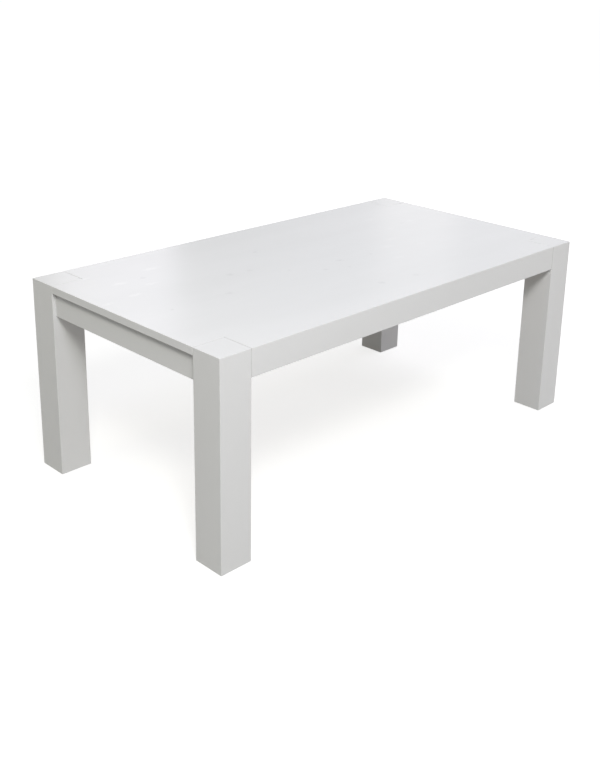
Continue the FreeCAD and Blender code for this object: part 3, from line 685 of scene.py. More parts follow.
@dataclass(frozen=True)
class StudioFloor(Finish):
    """A plain pale floor that shows white and keeps soft shadows."""

    pale: Colour = (0.50, 0.50, 0.50)
    cloud: Figure = Figure((0.6, 0.6, 0.6))
    cloud_tone: float = 0.985
    near_glow: Colour = (0.72, 0.72, 0.72)
    far_glow: Colour = (0.90, 0.90, 0.90)
    near: float = 1.2
    far: float = 4.0

    def surface(self, graph: Graph) -> Signal:
        """Builds the floor: its upper side is pale, and its lower side isn't there for the camera.

        Args:
            graph: The graph to build in.

        Returns:
            The shader.
        """
        place = graph.place()
        cloudy = tuple(part * self.cloud_tone for part in self.pale)
        distance = graph.vector("LENGTH", place)
        glow = graph.blend(distance.rise(self.near, self.far), self.near_glow, self.far_glow)
        floor = graph.add("ShaderNodeBsdfPrincipled", {}, {
            "Base Color": graph.blend(graph.noise(place, self.cloud).rise(0.2, 0.8), self.pale, cloudy),
            "Roughness": 0.9,
            "Specular IOR Level": 0.0,
            "Emission Color": graph.blend(graph.seen_directly(), (0.0, 0.0, 0.0), glow),
            "Emission Strength": 1.0,
        })
        from_below = graph.add("ShaderNodeNewGeometry", {}, {}, "Backfacing")
        camera = graph.add("ShaderNodeLightPath", {}, {}, "Is Camera Ray")
        clear = graph.add("ShaderNodeBsdfTransparent", {}, {})
        return graph.add("ShaderNodeMixShader", {}, {0: from_below * camera, 1: floor, 2: clear})


# ---- workpieces


def arc(centre: Pair, radius: float, start: float, sweep: float, steps: int) -> list[Pair]:
    """Lays points along an arc.

    Args:
        centre: Its centre.
        radius: Its radius.
        start: The angle at which it starts, in degrees.
        sweep: How far it turns, in degrees.
        steps: How many steps it has.

    Returns:
        The points, one more than the steps.
    """
    angles = [math.radians(start + sweep * step / steps) for step in range(steps + 1)]
    return [(centre[0] + radius * math.cos(angle), centre[1] + radius * math.sin(angle)) for angle in angles]


def fill_between(work: bmesh.types.BMesh, *loops: Sequence[bmesh.types.BMVert]) -> None:
    """Fills the flat space between two loops with faces.

    Args:
        work: The mesh in the making.
        loops: The points of each loop, in order.
    """
    edges = []
    for loop in loops:
        for pair in zip((loop[-1], *loop), loop):
            edges.append(work.edges.get(pair) or work.edges.new(pair))
    bmesh.ops.triangle_fill(work, use_beauty=True, use_dissolve=False, edges=edges)


def release(work: bmesh.types.BMesh, name: str) -> bpy.types.Mesh:
    """Ends a mesh in the making.

    Args:
        work: The mesh in the making.
        name: A name for the finished mesh.

    Returns:
        The finished mesh.
    """
    mesh = bpy.data.meshes.new(name)
    work.to_mesh(mesh)
    work.free()
    return mesh


def hang(name: str, data: bpy.types.ID) -> bpy.types.Object:
    """Puts a mesh, lamp or camera in the scene.

    Args:
        name: The new object's name.
        data: What it holds.

    Returns:
        The object.
    """
    holder = bpy.data.objects.new(name, data)
    bpy.context.scene.collection.objects.link(holder)
    return holder


def centred(mesh: bpy.types.Mesh) -> bpy.types.Mesh:
    """Moves a mesh so that the middle of its box is at the origin, and gives it back."""
    corners = [[point.co[axis] for point in mesh.vertices] for axis in range(3)]
    mesh.transform(Matrix.Translation([-(min(side) + max(side)) / 2 for side in corners]))
    return mesh


@dataclass(frozen=True)
class Ring:
    """One ring of a turned outline; with flats given, it is cut to a hexagon that far across."""

    radius: float
    level: float
    flats: float | None = None

    def reach(self, angle: float) -> float:
        """Gives the ring's radius on one side.

        Args:
            angle: Which side, as an angle about the axis.

        Returns:
            The radius there.
        """
        if self.flats is None:
            return self.radius
        sixth = math.pi / 3
        return min(self.radius, self.flats / 2 / math.cos(angle % sixth - sixth / 2))


@dataclass(frozen=True)
class Thread:
    """A right-hand screw thread between two levels of a turned outline.

    Its profile gives points of one pitch, each as a share of the pitch and of the way from root to crest.
    """

    root: float
    crest: float
    pitch: float
    start: float
    end: float
    profile: tuple[Pair, ...] = ((0.0, 0.0), (0.18, 0.0), (0.55, 1.0), (0.65, 1.0))

    def point(self, step: int, angle_share: float) -> Pair:
        """Gives a point of the thread's surface.

        Args:
            step: How many profile points lie before it.
            angle_share: The share of a turn that it has gone.

        Returns:
            Its radius and level.
        """
        turns, index = divmod(step, len(self.profile))
        share, rise = self.profile[index]
        level = self.start + (turns - 1 + share + angle_share) * self.pitch
        if level <= self.start or level >= self.end:
            return self.root, min(max(level, self.start), self.end)
        run_out = min(1.0, (level - self.start) / self.pitch, (self.end - level) / self.pitch)
        return self.root + (self.crest - self.root) * rise * run_out, level

    @property
    def steps(self) -> int:
        """How many profile points cover the stretch at every angle."""
        return (math.ceil((self.end - self.start) / self.pitch) + 3) * len(self.profile)


Station = Ring | Thread | Pair
Loop = list[bmesh.types.BMVert]


class Workpiece:
    """A closed mesh in the making, turned about its own Z axis."""

    SEGMENTS = 24
    MERGE = 1e-7
    RECESS_TAPER = 0.55

    def __init__(self, outline: Sequence[Station]) -> None:
        """Turns an outline about the axis.

        Args:
            outline: Threads, rings, and plain rings as (radius, level), from one end to the other. Rings
                of radius 0 close the ends.
        """
        self.mesh = bmesh.new()
        before = None
        for station in outline:
            if isinstance(station, Thread):
                ends = (station.start, station.end)
                foot, head = (self._circle(Ring(station.root, level)) for level in ends)
                self._band(before, foot)
                self._wind(station)
                before = head
                continue
            points = self._circle(station if isinstance(station, Ring) else Ring(*station))
            if before:
                self._band(before, points)
            before = points

    def _point(self, radius: float, share: float, level: float) -> bmesh.types.BMVert:
        """Adds a point at a radius, a share of a turn and a level."""
        angle = 2 * math.pi * share
        return self.mesh.verts.new((radius * math.cos(angle), radius * math.sin(angle), level))

    def _circle(self, ring: Ring) -> Loop:
        """Adds the points of a ring."""
        shares = [segment / self.SEGMENTS for segment in range(self.SEGMENTS)]
        return [self._point(ring.reach(2 * math.pi * share), share, ring.level) for share in shares]

    def _band(self, first: Loop, second: Loop) -> None:
        """Joins two rings with faces."""
        for segment in range(self.SEGMENTS):
            after = (segment + 1) % self.SEGMENTS
            self.mesh.faces.new((first[segment], first[after], second[after], second[segment]))

    def _wind(self, thread: Thread) -> None:
        """Adds the surface of a thread: a strip of profiles wound round the axis.

        Args:
            thread: The thread.
        """
        rows = []
        for step in range(thread.steps):
            row = []
            for share in (segment / self.SEGMENTS for segment in range(self.SEGMENTS)):
                radius, level = thread.point(step, share)
                row.append(self._point(radius, share, level))
            rows.append(row)
        turn = len(thread.profile)
        for step in range(thread.steps - turn - 1):
            # After a full turn, a row goes on in the row that lies one pitch higher.
            lower, upper = ([*rows[row], rows[row + turn][0]] for row in (step, step + 1))
            for segment in range(self.SEGMENTS):
                after = segment + 1
                self.mesh.faces.new((lower[segment], lower[after], upper[after], upper[segment]))

    def cross_recess(self, rim: Ring, arm: float, width: float, depth: float) -> None:
        """Closes a flat open rim with a face that has a cross recess in it.

        Args:
            rim: The rim.
            arm: How far the cross reaches from the axis.
            width: How wide its arms are.
            depth: How deep it is.
        """
        half = width / 2
        outline = []
        for quarter in range(4):
            rotation = Matrix.Rotation(quarter * math.pi / 2, 2)
            outline += [rotation @ Vector(point) for point in ((arm, -half), (arm, half), (half, half))]
        upper = [self.mesh.verts.new((*point, rim.level)) for point in outline]
        lower = [self.mesh.verts.new((*(point * self.RECESS_TAPER), rim.level - depth)) for point in outline]
        fill_between(self.mesh, upper, self._circle(rim))
        for index in range(len(upper)):
            self.mesh.faces.new((upper[index - 1], upper[index], lower[index], lower[index - 1]))
        self.mesh.faces.new(lower)

    def finished(self, name: str) -> bpy.types.Mesh:
        """Closes the work.

        Args:
            name: The mesh's name.

        Returns:
            The mesh, with the origin in the middle of its box.
        """
        bmesh.ops.remove_doubles(self.mesh, verts=self.mesh.verts, dist=self.MERGE)
        bmesh.ops.dissolve_degenerate(self.mesh, edges=self.mesh.edges, dist=self.MERGE)
        bmesh.ops.recalc_face_normals(self.mesh, faces=self.mesh.faces)
        return centred(release(self.mesh, name))


@dataclass(frozen=True)
class Solid:
    """One of the separate solids of a CAD node."""

    points: tuple[Vector, ...]

    @staticmethod
    def of(node: str) -> "list[Solid]":
        """Finds the solids of a node.

        Args:
            node: The node.

        Returns:
            Its solids, in order of their places.
        """
        work = bmesh.new()
        work.from_mesh(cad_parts[node].data)
        bmesh.ops.remove_doubles(work, verts=work.verts, dist=1e-6)
        waiting = set(work.verts)
        solids = []
        while waiting:
            group = [waiting.pop()]
            for vertex in group:
                near = {edge.other_vert(vertex) for edge in vertex.link_edges} & waiting
                waiting -= near
                group += near
            solids.append(Solid(tuple(vertex.co.copy() for vertex in group)))
        work.free()
        return sorted(solids, key=lambda solid: [round(value, 4) for value in solid.middle(UP)])

    def span(self, direction: Vector) -> Pair:
        """How far the solid reaches along a direction, from where to where."""
        reaches = [point.dot(direction) for point in self.points]
        return min(reaches), max(reaches)

    def length(self, direction: Vector) -> float:
        """The solid's size along a direction."""
        low, high = self.span(direction)
        return high - low

    def radius(self, axis: Vector) -> float:
        """The radius of a round solid about its upright or level axis."""
        return self.length(ALONG if axis.z else UP) / 2

    def middle(self, direction: Vector) -> Vector:
        """The middle of the solid's box, where the box is turned to face a direction."""
        turned = direction.to_track_quat("Z", "Y").to_matrix()
        return sum((axis * sum(self.span(axis)) / 2 for axis in turned.col), Vector())

    def seat(self, direction: Vector) -> Matrix:
        """The place of a workpiece in the middle of the solid, its Z axis in a direction."""
        turn = direction.to_track_quat("Z", "Y").to_matrix().to_4x4()
        return Matrix.Translation(self.middle(direction)) @ turn


def upward(_: Solid) -> Vector:
    """The direction of a piece that stands upright."""
    return UP


def downward(_: Solid) -> Vector:
    """The direction of a piece whose head is below."""
    return -UP


def inward(solid: Solid) -> Vector:
    """The level direction from a corner of the table to its middle, at 45 degrees to the sides."""
    middle = solid.middle(UP)
    return Vector((-math.copysign(DIAGONAL, middle.x), -math.copysign(DIAGONAL, middle.y), 0))


def off_rail(solid: Solid) -> Vector:
    """Finds the level direction in which a piece on a rail points away from that rail.

    Args:
        solid: The piece's solid, which is longest in this direction.

    Returns:
        The direction, along or across the table.
    """
    middle = solid.middle(UP)
    if solid.length(ALONG) > solid.length(UP.cross(ALONG)):
        return Vector((-math.copysign(1, middle.x), 0, 0))
    return Vector((0, -math.copysign(1, middle.y), 0))


def shade(mesh: bpy.types.Mesh, angle: float = math.radians(32)) -> None:
    """Shades a mesh smooth, with sharp edges over an angle."""
    mesh.polygons.foreach_set("use_smooth", [True] * len(mesh.polygons))
    mesh.set_sharp_from_angle(angle=angle)


Maker = Callable[[Solid, Vector], bpy.types.Mesh]


def stand_in(node: str, make: Maker, facing: Callable[[Solid], Vector], look: bpy.types.Material,
             body: str = TABLE_BODY) -> None:
    """Puts copies of a detailed mesh in the place of a CAD node's solids.

    Args:
        node: The CAD node that they replace.
        make: Makes the mesh from one of the solids and the direction in which it points.
        facing: Gives the direction in which a solid points.
        look: Their material.
        body: The body that they move with.
    """
    solids = Solid.of(node)
    mesh = make(solids[0], facing(solids[0]))
    whole = bmesh.new()
    for solid in solids:
        copy = mesh.copy()
        copy.transform(solid.seat(facing(solid)))
        whole.from_mesh(copy)
        bpy.data.meshes.remove(copy)
    joined = release(whole, f"{node}_mesh")
    joined.materials.append(look)
    shade(joined)
    piece = hang(f"{node}_detailed", joined)
    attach(piece, body)
    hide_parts(node)
    LOG.info("%s: %d made, %d faces", node, len(solids), len(joined.polygons))


def finish_board(node: str, finish: Finish) -> None:
    """Gives a CAD board its finish.

    Args:
        node: The board's node.
        finish: The finish.
    """
    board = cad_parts[node]
    look = finish.make(f"{node}_finish")
    for slot in board.material_slots:
        slot.link = "OBJECT"
        slot.material = look
    LOG.info("%s: finished", node)


# ---- fixings


@dataclass
class PanScrew:
    """A pan-head wood screw with a cross recess. Its dome is given in shares of the head's size."""

    shank: float = 0.0025
    thread_root: float = 0.0017
    thread_pitch: float = 0.0018
    plain_share: float = 0.3
    plain_waist: float = 0.92
    head: float = 0.00475
    head_height: float = 0.0035
    head_ease: float = 0.0003
    dome: tuple[Pair, ...] = (
        (1.0, 0.38), (0.98, 0.55), (0.92, 0.72), (0.82, 0.87), (0.68, 0.965), (0.54, 1.0),
    )
    point: float = 0.0051
    tip_radius_share: float = 0.35
    tip_length_share: float = 0.3
    recess_arm: float = 0.0024
    recess_width: float = 0.0011
    recess_depth: float = 0.0016

    def mesh(self, solid: Solid, axis: Vector) -> bpy.types.Mesh:
        """Makes the screw.

        Args:
            solid: The solid that it replaces.
            axis: The direction of its head.

        Returns:
            The mesh, head up.
        """
        tip = self.head_height - solid.length(axis)
        plain = tip * self.plain_share
        dome = [Ring(self.head * out, self.head_height * up) for out, up in self.dome]
        work = Workpiece([
            (0.0, tip),
            (self.thread_root * self.tip_radius_share, tip + self.point * self.tip_length_share),
            Thread(self.thread_root, self.shank, self.thread_pitch, tip + self.point, plain),
            (self.shank * self.plain_waist, plain + 2 * self.head_ease),
            (self.shank * self.plain_waist, 0.0),
            (self.head - self.head_ease, 0.0),
            (self.head, self.head_ease),
            *dome,
        ])
        work.cross_recess(dome[-1], self.recess_arm, self.recess_width, self.recess_depth)
        return work.finished("pan_screw")


@dataclass
class Washer:
    """A stamped washer: rolled over on one face, sharp on the other."""

    bore: float
    ease_share: float = 0.25

    def mesh(self, solid: Solid, axis: Vector) -> bpy.types.Mesh:
        """Makes the washer.

        Args:
            solid: The solid that it replaces.
            axis: The direction of its rolled face.

        Returns:
            The mesh, rolled face up.
        """
        radius = solid.radius(axis)
        thickness = solid.length(axis)
        ease = thickness * self.ease_share
        return Workpiece([
            (self.bore, 0.0),
            (radius - ease / 3, 0.0),
            (radius, ease / 3),
            (radius, thickness - ease),
            (radius - ease * 0.3, thickness - ease * 0.3),
            (radius - ease, thickness),
            (self.bore + ease, thickness),
            (self.bore + ease * 0.3, thickness - ease * 0.3),
            (self.bore, thickness - ease),
            (self.bore, 0.0),
        ]).finished("washer")


@dataclass(frozen=True)
class MachineBolt:
    """The sizes that the hanger bolts, their nuts and the leveller bolts share."""

    root: float = 0.0033
    crest: float = 0.004
    pitch: float = 0.00125
    flats: float = 0.013
    chamfer: float = 0.0006
    countersink: float = 1.12
    corners: tuple[Pair, ...] = ((0.955, 0.0), (1.03, 0.045), (1.09, 0.08), (1.16, 0.12))

    def shank(self, start: float, tip: float) -> list[Station]:
        """The threaded shank from a level up to its chamfered tip."""
        thread = Thread(self.root, self.crest, self.pitch, start, tip - 2 * self.chamfer)
        return [thread, (self.root, tip - self.chamfer), (self.root - self.chamfer, tip), (0.0, tip)]

    def hexagon(self, height: float) -> list[Ring]:
        """Makes the outside of a nut or head, chamfered at both ends.

        Args:
            height: Its height.

        Returns:
            Rings from its lower face to its upper one.
        """
        half = self.flats / 2
        lower = [Ring(half * out, self.flats * up, self.flats) for out, up in self.corners]
        upper = [Ring(ring.radius, height - ring.level, self.flats) for ring in reversed(lower)]
        return lower + upper

    def nut(self, solid: Solid, axis: Vector) -> bpy.types.Mesh:
        """Makes a hexagon nut, countersunk at the thread.

        Args:
            solid: The solid that it replaces.
            axis: The direction of its thread.

        Returns:
            The mesh.
        """
        height = solid.length(axis)
        mouth = self.crest * self.countersink
        sink = mouth - self.crest
        rings = self.hexagon(height)
        bore = [(mouth, height), (self.crest, height - sink), (self.crest, sink), (mouth, 0.0)]
        return Workpiece([*rings, *bore, rings[0]]).finished("nut")


BOLT = MachineBolt()


# ---- the table


class Corner(Enum):
    """The four corners of the table, with the grain of the block that lies across each."""

    FRONT_LEFT = ("front_left", Grain.FALLING)
    FRONT_RIGHT = ("front_right", Grain.RISING)
    BACK_LEFT = ("back_left", Grain.RISING)
    BACK_RIGHT = ("back_right", Grain.FALLING)

    @property
    def label(self) -> str:
        """The start of the names of this corner's pieces."""
        return self.value[0]

    @property
    def block_grain(self) -> Grain:
        """The grain of this corner's block."""
        return self.value[1]


@dataclass
class Boards:
    """Everything of the table that is painted: the top, the rails and the legs."""

    dent: float = 0.029
    dent_depth: float = 5.5e-5
    # Dents are darkened towards this tone as painted shade in their hollows.
    dent_shade_tone: Colour = (0.40, 0.40, 0.41)
    dent_strength: float = 0.12
    rub_length: float = 0.090
    rub_width: float = 0.040
    rub_depth: float = 3.0e-5
    # Rubs are shallow hollows in the paint, lightened towards this tone as painted sheen.
    rub_sheen_tone: Colour = (0.92, 0.92, 0.92)
    rub_strength: float = 0.40
    faintness: float = 0.4
    dent_sizes: Triple = (0.75, 1.0, 1.25)
    dent_oval: float = 1.25
    shares: tuple[float, ...] = (0.7, 0.9, 1.1, 1.3)
    dent_places: tuple[Pair, ...] = (
        (-0.154, 0.311), (-0.328, 0.075), (-0.418, 0.082), (-0.145, 0.249), (-0.212, -0.028),
        (-0.564, -0.082), (-0.822, -0.085), (-0.683, 0.266), (-0.863, 0.426), (0.002, -0.149),
        (-0.095, -0.110), (0.034, -0.065), (0.474, 0.307), (0.116, -0.395), (-0.059, -0.367),
        (0.195, -0.089), (0.675, 0.154),
    )
    strong_sheen_rubs: tuple[Pair, ...] = (
        (-0.954, 0.105), (-0.824, 0.125), (-0.791, 0.266), (-0.599, 0.337), (-0.850, 0.395),
        (-0.700, 0.190),
    )
    faint_sheen_rubs: tuple[Pair, ...] = (
        (0.434, 0.005), (0.330, -0.060), (0.560, 0.120), (0.732, 0.148), (0.250, -0.190),
        (0.610, 0.290), (0.480, -0.120),
    )

    def marks(self) -> tuple[Mark, ...]:
        """Makes the dents and rubs of the top, with neighbours of different sizes; the dents are darkened
        with painted shade and the rubs lightened with painted sheen.

        Returns:
            The marks.
        """
        made = []
        for index, (x, y) in enumerate(self.dent_places):
            size = self.dent * self.dent_sizes[index % len(self.dent_sizes)]
            share = self.shares[index % len(self.shares)]
            depth, strength = self.dent_depth * share, self.dent_strength * share
            made.append(Mark(x, y, size * self.dent_oval, size, depth, self.dent_shade_tone, strength))
        for index, (x, y) in enumerate(self.strong_sheen_rubs + self.faint_sheen_rubs):
            share = self.shares[index % len(self.shares)]
            length, width = self.rub_length * share, self.rub_width * share
            force = 1.0 if index < len(self.strong_sheen_rubs) else self.faintness
            depth, strength = self.rub_depth * force, self.rub_strength * force
            made.append(Mark(x, y, length, width, depth, self.rub_sheen_tone, strength))
        return tuple(made)

    def build(self) -> None:
        """Paints every board, each with a figure of its own."""
        finish_board("top_panel", PaintedWood("top_panel", Grain.LENGTH, 0.0, self.marks(), True))
        for sides, kind, grain, shift in (
            (("front", "back"), "long_rail", Grain.LENGTH, 3.7),
            (("left", "right"), "end_rail", Grain.WIDTH, 5.3),
            ([corner.label for corner in Corner], "leg", Grain.HEIGHT, 7.9),
        ):
            for index, side in enumerate(sides, start=1):
                node = f"{side}_{kind}"
                finish_board(node, PaintedWood(node, grain, index * shift))


@dataclass
class CornerJoints:
    """The blocks across the corners, with the bolts that hold the legs and the screws into the rails."""

    block_shift: float = 2.3
    leg_bite: float = 0.060
    wood_pitch: float = 0.003
    wood_root_share: float = 0.85
    wood_point: float = 0.006
    wood_tip: float = 0.001
    wood_tip_share: float = 0.3
    waist: float = 0.004
    washer_bore: float = 0.0045

    def build(self, zinc: bpy.types.Material) -> None:
        """Makes the blocks' finish and the fixings of all four corners.

        Args:
            zinc: The fixings' material.
        """
        for index, corner in enumerate(Corner, start=1):
            wood = PlanedWood(corner.block_grain, index * self.block_shift)
            finish_board(f"{corner.label}_corner_block", wood)
        stand_in("hanger_bolts", self.bolt, inward, zinc)
        stand_in("bolt_washers", Washer(self.washer_bore).mesh, inward, zinc)
        stand_in("bolt_nuts", BOLT.nut, inward, zinc)
        stand_in("corner_block_screws", PanScrew().mesh, off_rail, zinc)

    def bolt(self, solid: Solid, axis: Vector) -> bpy.types.Mesh:
        """Makes a hanger bolt: coarse thread in the leg, machine thread through the block.

        Args:
            solid: The solid that it replaces.
            axis: The direction of its machine thread.

        Returns:
            The mesh, machine thread up.
        """
        point = -self.leg_bite
        root, start = BOLT.root * self.wood_root_share, point + self.wood_point
        return Workpiece([
            (0.0, point),
            (BOLT.root * self.wood_tip_share, point + self.wood_tip),
            Thread(root, BOLT.crest, self.wood_pitch, start, -self.waist),
            (BOLT.root, -self.waist / 2),
            *BOLT.shank(0.0, solid.length(axis) - self.leg_bite),
        ]).finished("hanger_bolt")


@dataclass
class CrossRails:
    """The rails under the top, with their dowels and the screws up into the top."""

    rail_shift: float = 4.1
    washer_bore: float = 0.0028

    def build(self, zinc: bpy.types.Material) -> None:
        """Finishes the rails and makes their screws and washers.

        Args:
            zinc: The fixings' material.
        """
        for index, side in enumerate(("left", "centre", "right"), start=1):
            finish_board(f"{side}_cross_rail", PlanedWood(Grain.WIDTH, index * self.rail_shift))
        finish_board("cross_rail_dowels", BeechJoint(Grain.WIDTH))
        for side in ("front", "back"):
            finish_board(f"{side}_mitre_tongue", BeechJoint(Grain.LENGTH))
        stand_in("top_screws", PanScrew().mesh, downward, zinc)
        stand_in("top_screw_washers", Washer(self.washer_bore).mesh, downward, zinc)


@dataclass
class EndClips:
    """The bent steel clips that hold the top to the end rails, and their screws."""

    thickness: float = 0.002
    bend: float = 0.0022
    drop: float = 0.014
    tongue: float = 0.0115
    corner: float = 0.003
    hole: float = 0.0029
    ease: float = 0.00035
    bend_steps: int = 6
    screw_plain_share: float = 0.12

    def build(self, zinc: bpy.types.Material) -> None:
        """Makes the clips and their screws.

        Args:
            zinc: Their material.
        """
        stand_in("top_clips", self.mesh, off_rail, zinc)
        stand_in("clip_screws", PanScrew(plain_share=self.screw_plain_share).mesh, downward, zinc)

    def path(self) -> list[Pair]:
        """Bends the middle line of the strip, from its tongue up to where the foot starts.

        Returns:
            Its points, as (along, up).
        """
        half = self.thickness / 2
        low = half - self.drop
        lower = arc((-self.bend, low + self.bend), self.bend, -90, 90, self.bend_steps)
        upper = arc((self.bend, -half - self.bend), self.bend, 180, -90, self.bend_steps)
        return [(-self.tongue - half, low), *lower, *upper]

    def mesh(self, solid: Solid, axis: Vector) -> bpy.types.Mesh:
        """Makes a clip: a bent sheet with a screw hole in its foot, thickened and eased.

        Args:
            solid: The solid that it replaces.
            axis: The direction of its foot.

        Returns:
            The mesh, with its foot along +Z and its upper side towards +Y.
        """
        sheet = bmesh.new()
        half = solid.length(UP.cross(axis)) / 2
        rows = [[sheet.verts.new((along, side * half, up)) for side in (-1, 1)] for along, up in self.path()]
        for before, after in zip(rows, rows[1:]):
            sheet.faces.new((before[0], after[0], after[1], before[1]))
        start, _, level = rows[-1][0].co
        end = solid.length(axis) - self.tongue - self.thickness / 2
        far, side = end - self.corner, half - self.corner
        rounded = arc((far, side), self.corner, 90, -90, self.bend_steps)
        rounded += arc((far, -side), self.corner, 0, -90, self.bend_steps)
        circle = arc(((start + end) / 2, 0.0), self.hole, 0, 360, Workpiece.SEGMENTS)[:-1]
        corners = [sheet.verts.new((*point, level)) for point in rounded]
        hole = [sheet.verts.new((*point, level)) for point in circle]
        fill_between(sheet, [rows[-1][1], *corners, rows[-1][0]], hole)
        bmesh.ops.recalc_face_normals(sheet, faces=sheet.faces)
        clip = centred(thickened(release(sheet, "clip_sheet"), self.thickness, self.ease))
        # It was bent lying along the table, and seats are for meshes that stand on their Z axis.
        clip.transform(ALONG.to_track_quat("Z", "Y").to_matrix().to_4x4().inverted())
        return clip


def thickened(sheet: bpy.types.Mesh, thickness: float, ease: float) -> bpy.types.Mesh:
    """Makes a sheet solid and eases its edges.

    Args:
        sheet: The middle surface.
        thickness: How thick the solid is.
        ease: How wide its edges are eased.

    Returns:
        The solid's mesh.
    """
    holder = hang("sheet_holder", sheet)
    solidify = holder.modifiers.new("thickness", "SOLIDIFY")
    solidify.thickness = thickness
    solidify.offset = 0.0
    bevel = holder.modifiers.new("ease", "BEVEL")
    bevel.width = ease
    bevel.segments = 2
    bevel.angle_limit = math.radians(40)
    solid = bpy.data.meshes.new_from_object(holder.evaluated_get(bpy.context.evaluated_depsgraph_get()))
    bpy.data.objects.remove(holder)
    return solid


@dataclass
class Levellers:
    """The four levellers in the feet of the legs, and the threaded inserts that they turn in.

    The pads' outlines are pairs of a distance in from the rim, or out from the axis, and one off the face.
    """

    head: float = 0.0045
    head_gap: float = 0.0004
    insert_root: float = 0.0051
    insert_pitch: float = 0.0025
    insert_rim: float = 0.0012
    insert_gap: float = 0.00005
    insert_ease: float = 0.0004
    insert_lead: float = 0.001
    pocket: float = 0.0132
    pocket_floor: float = 0.0015
    pocket_ease: float = 0.0003
    pocket_flare: float = 0.0004
    pad_sole: tuple[Pair, ...] = (
        (0.0, 0.0007), (0.0052, 0.0007), (0.0060, 0.0), (0.0100, 0.0), (0.0104, 0.0005), (0.0110, 0.0005),
        (0.0114, 0.0),
    )
    pad_lower_rim: tuple[Pair, ...] = ((0.0018, 0.0), (0.0008, 0.0004), (0.0002, 0.0011), (0.0, 0.0019))
    pad_upper_rim: tuple[Pair, ...] = (
        (0.0, 0.0009), (0.0003, 0.0003), (0.0010, 0.0), (0.0030, 0.0), (0.0034, 0.0008),
    )
    pad_collar: tuple[Pair, ...] = ((0.0105, 0.0008), (0.0098, 0.0))

    def build(self, zinc: bpy.types.Material, nylon: bpy.types.Material) -> None:
        """Makes the inserts, bolts and pads.

        Args:
            zinc: The material of the inserts and bolts.
            nylon: The pads' material.
        """
        stand_in("threaded_inserts", self.insert, upward, zinc)
        for corner in Corner:
            body = f"{corner.label}_leveller"
            stand_in(f"{body}_bolt", self.bolt, upward, zinc, body)
            stand_in(f"{body}_pad", self.pad, upward, nylon, body)

    def insert(self, solid: Solid, axis: Vector) -> bpy.types.Mesh:
        """Makes a threaded insert: a sleeve with a coarse thread outside and a rim at its foot.

        Args:
            solid: The solid that it replaces.
            axis: The direction of its inner end.

        Returns:
            The mesh, rim down.
        """
        height = solid.length(axis)
        outer = solid.radius(axis)
        bore = BOLT.crest + self.insert_gap
        ease = self.insert_ease
        mouth = (bore + ease, 0.0)
        start, end = self.insert_rim + ease, height - self.insert_lead
        return Workpiece([
            mouth,
            (outer - ease / 2, 0.0),
            (outer, ease / 2),
            (outer, self.insert_rim),
            Thread(self.insert_root, outer, self.insert_pitch, start, end),
            (self.insert_root - ease, height),
            (bore, height),
            (bore, ease),
            mouth,
        ]).finished("insert")

    def bolt(self, solid: Solid, axis: Vector) -> bpy.types.Mesh:
        """Makes a leveller's bolt: a hexagon head below, a threaded shank above.

        Args:
            solid: The solid that it replaces.
            axis: The direction of its tip.

        Returns:
            The mesh, head down.
        """
        shank = BOLT.shank(self.head + self.head_gap, solid.length(axis))
        return Workpiece([
            (0.0, 0.0),
            *BOLT.hexagon(self.head),
            (BOLT.root, self.head),
            *shank,
        ]).finished("leveller_bolt")

    def pad(self, solid: Solid, axis: Vector) -> bpy.types.Mesh:
        """Makes a moulded pad: a hollow sole, a rounded rim and a pocket for the bolt's head.

        Args:
            solid: The solid that it replaces.
            axis: The direction of its pocket.

        Returns:
            The mesh, pocket up.
        """
        height = solid.length(axis)
        radius = solid.radius(axis)
        pocket = self.pocket
        return Workpiece([
            *self.pad_sole,
            *((radius - inset, up) for inset, up in self.pad_lower_rim),
            *((radius - inset, height - down) for inset, down in self.pad_upper_rim),
            *((out, height - down) for out, down in self.pad_collar),
            Ring(pocket, height, pocket + self.pocket_flare),
            Ring(pocket, height - self.pocket_ease, pocket),
            Ring(pocket, self.pocket_floor, pocket),
            (0.0, self.pocket_floor),
        ]).finished("leveller_pad")


# ---- the studio


class Cast(Enum):
    """What a lamp adds to a surface: its light, its mirrored sheen, or both."""

    BOTH = "both"
    LIGHT = "light"
    SHEEN = "sheen"


@dataclass(frozen=True)
class Lamp:
    """A soft rectangular lamp that faces a point."""

    name: str
    place: Triple
    aim: Triple
    width: float
    height: float
    power: float
    colour: Colour
    cast: Cast = Cast.LIGHT

    def light(self) -> None:
        """Hangs the lamp."""
        lamp = bpy.data.lights.new(self.name, "AREA")
        lamp.shape = "RECTANGLE"
        lamp.size = self.width
        lamp.size_y = self.height
        lamp.energy = self.power
        lamp.color = self.colour
        holder = hang(self.name, lamp)
        holder.location = self.place
        facing = Vector(self.aim) - Vector(self.place)
        holder.rotation_euler = facing.to_track_quat("-Z", "Y").to_euler()
        holder.visible_camera = False
        holder.visible_diffuse = self.cast is not Cast.SHEEN
        holder.visible_glossy = self.cast is not Cast.LIGHT


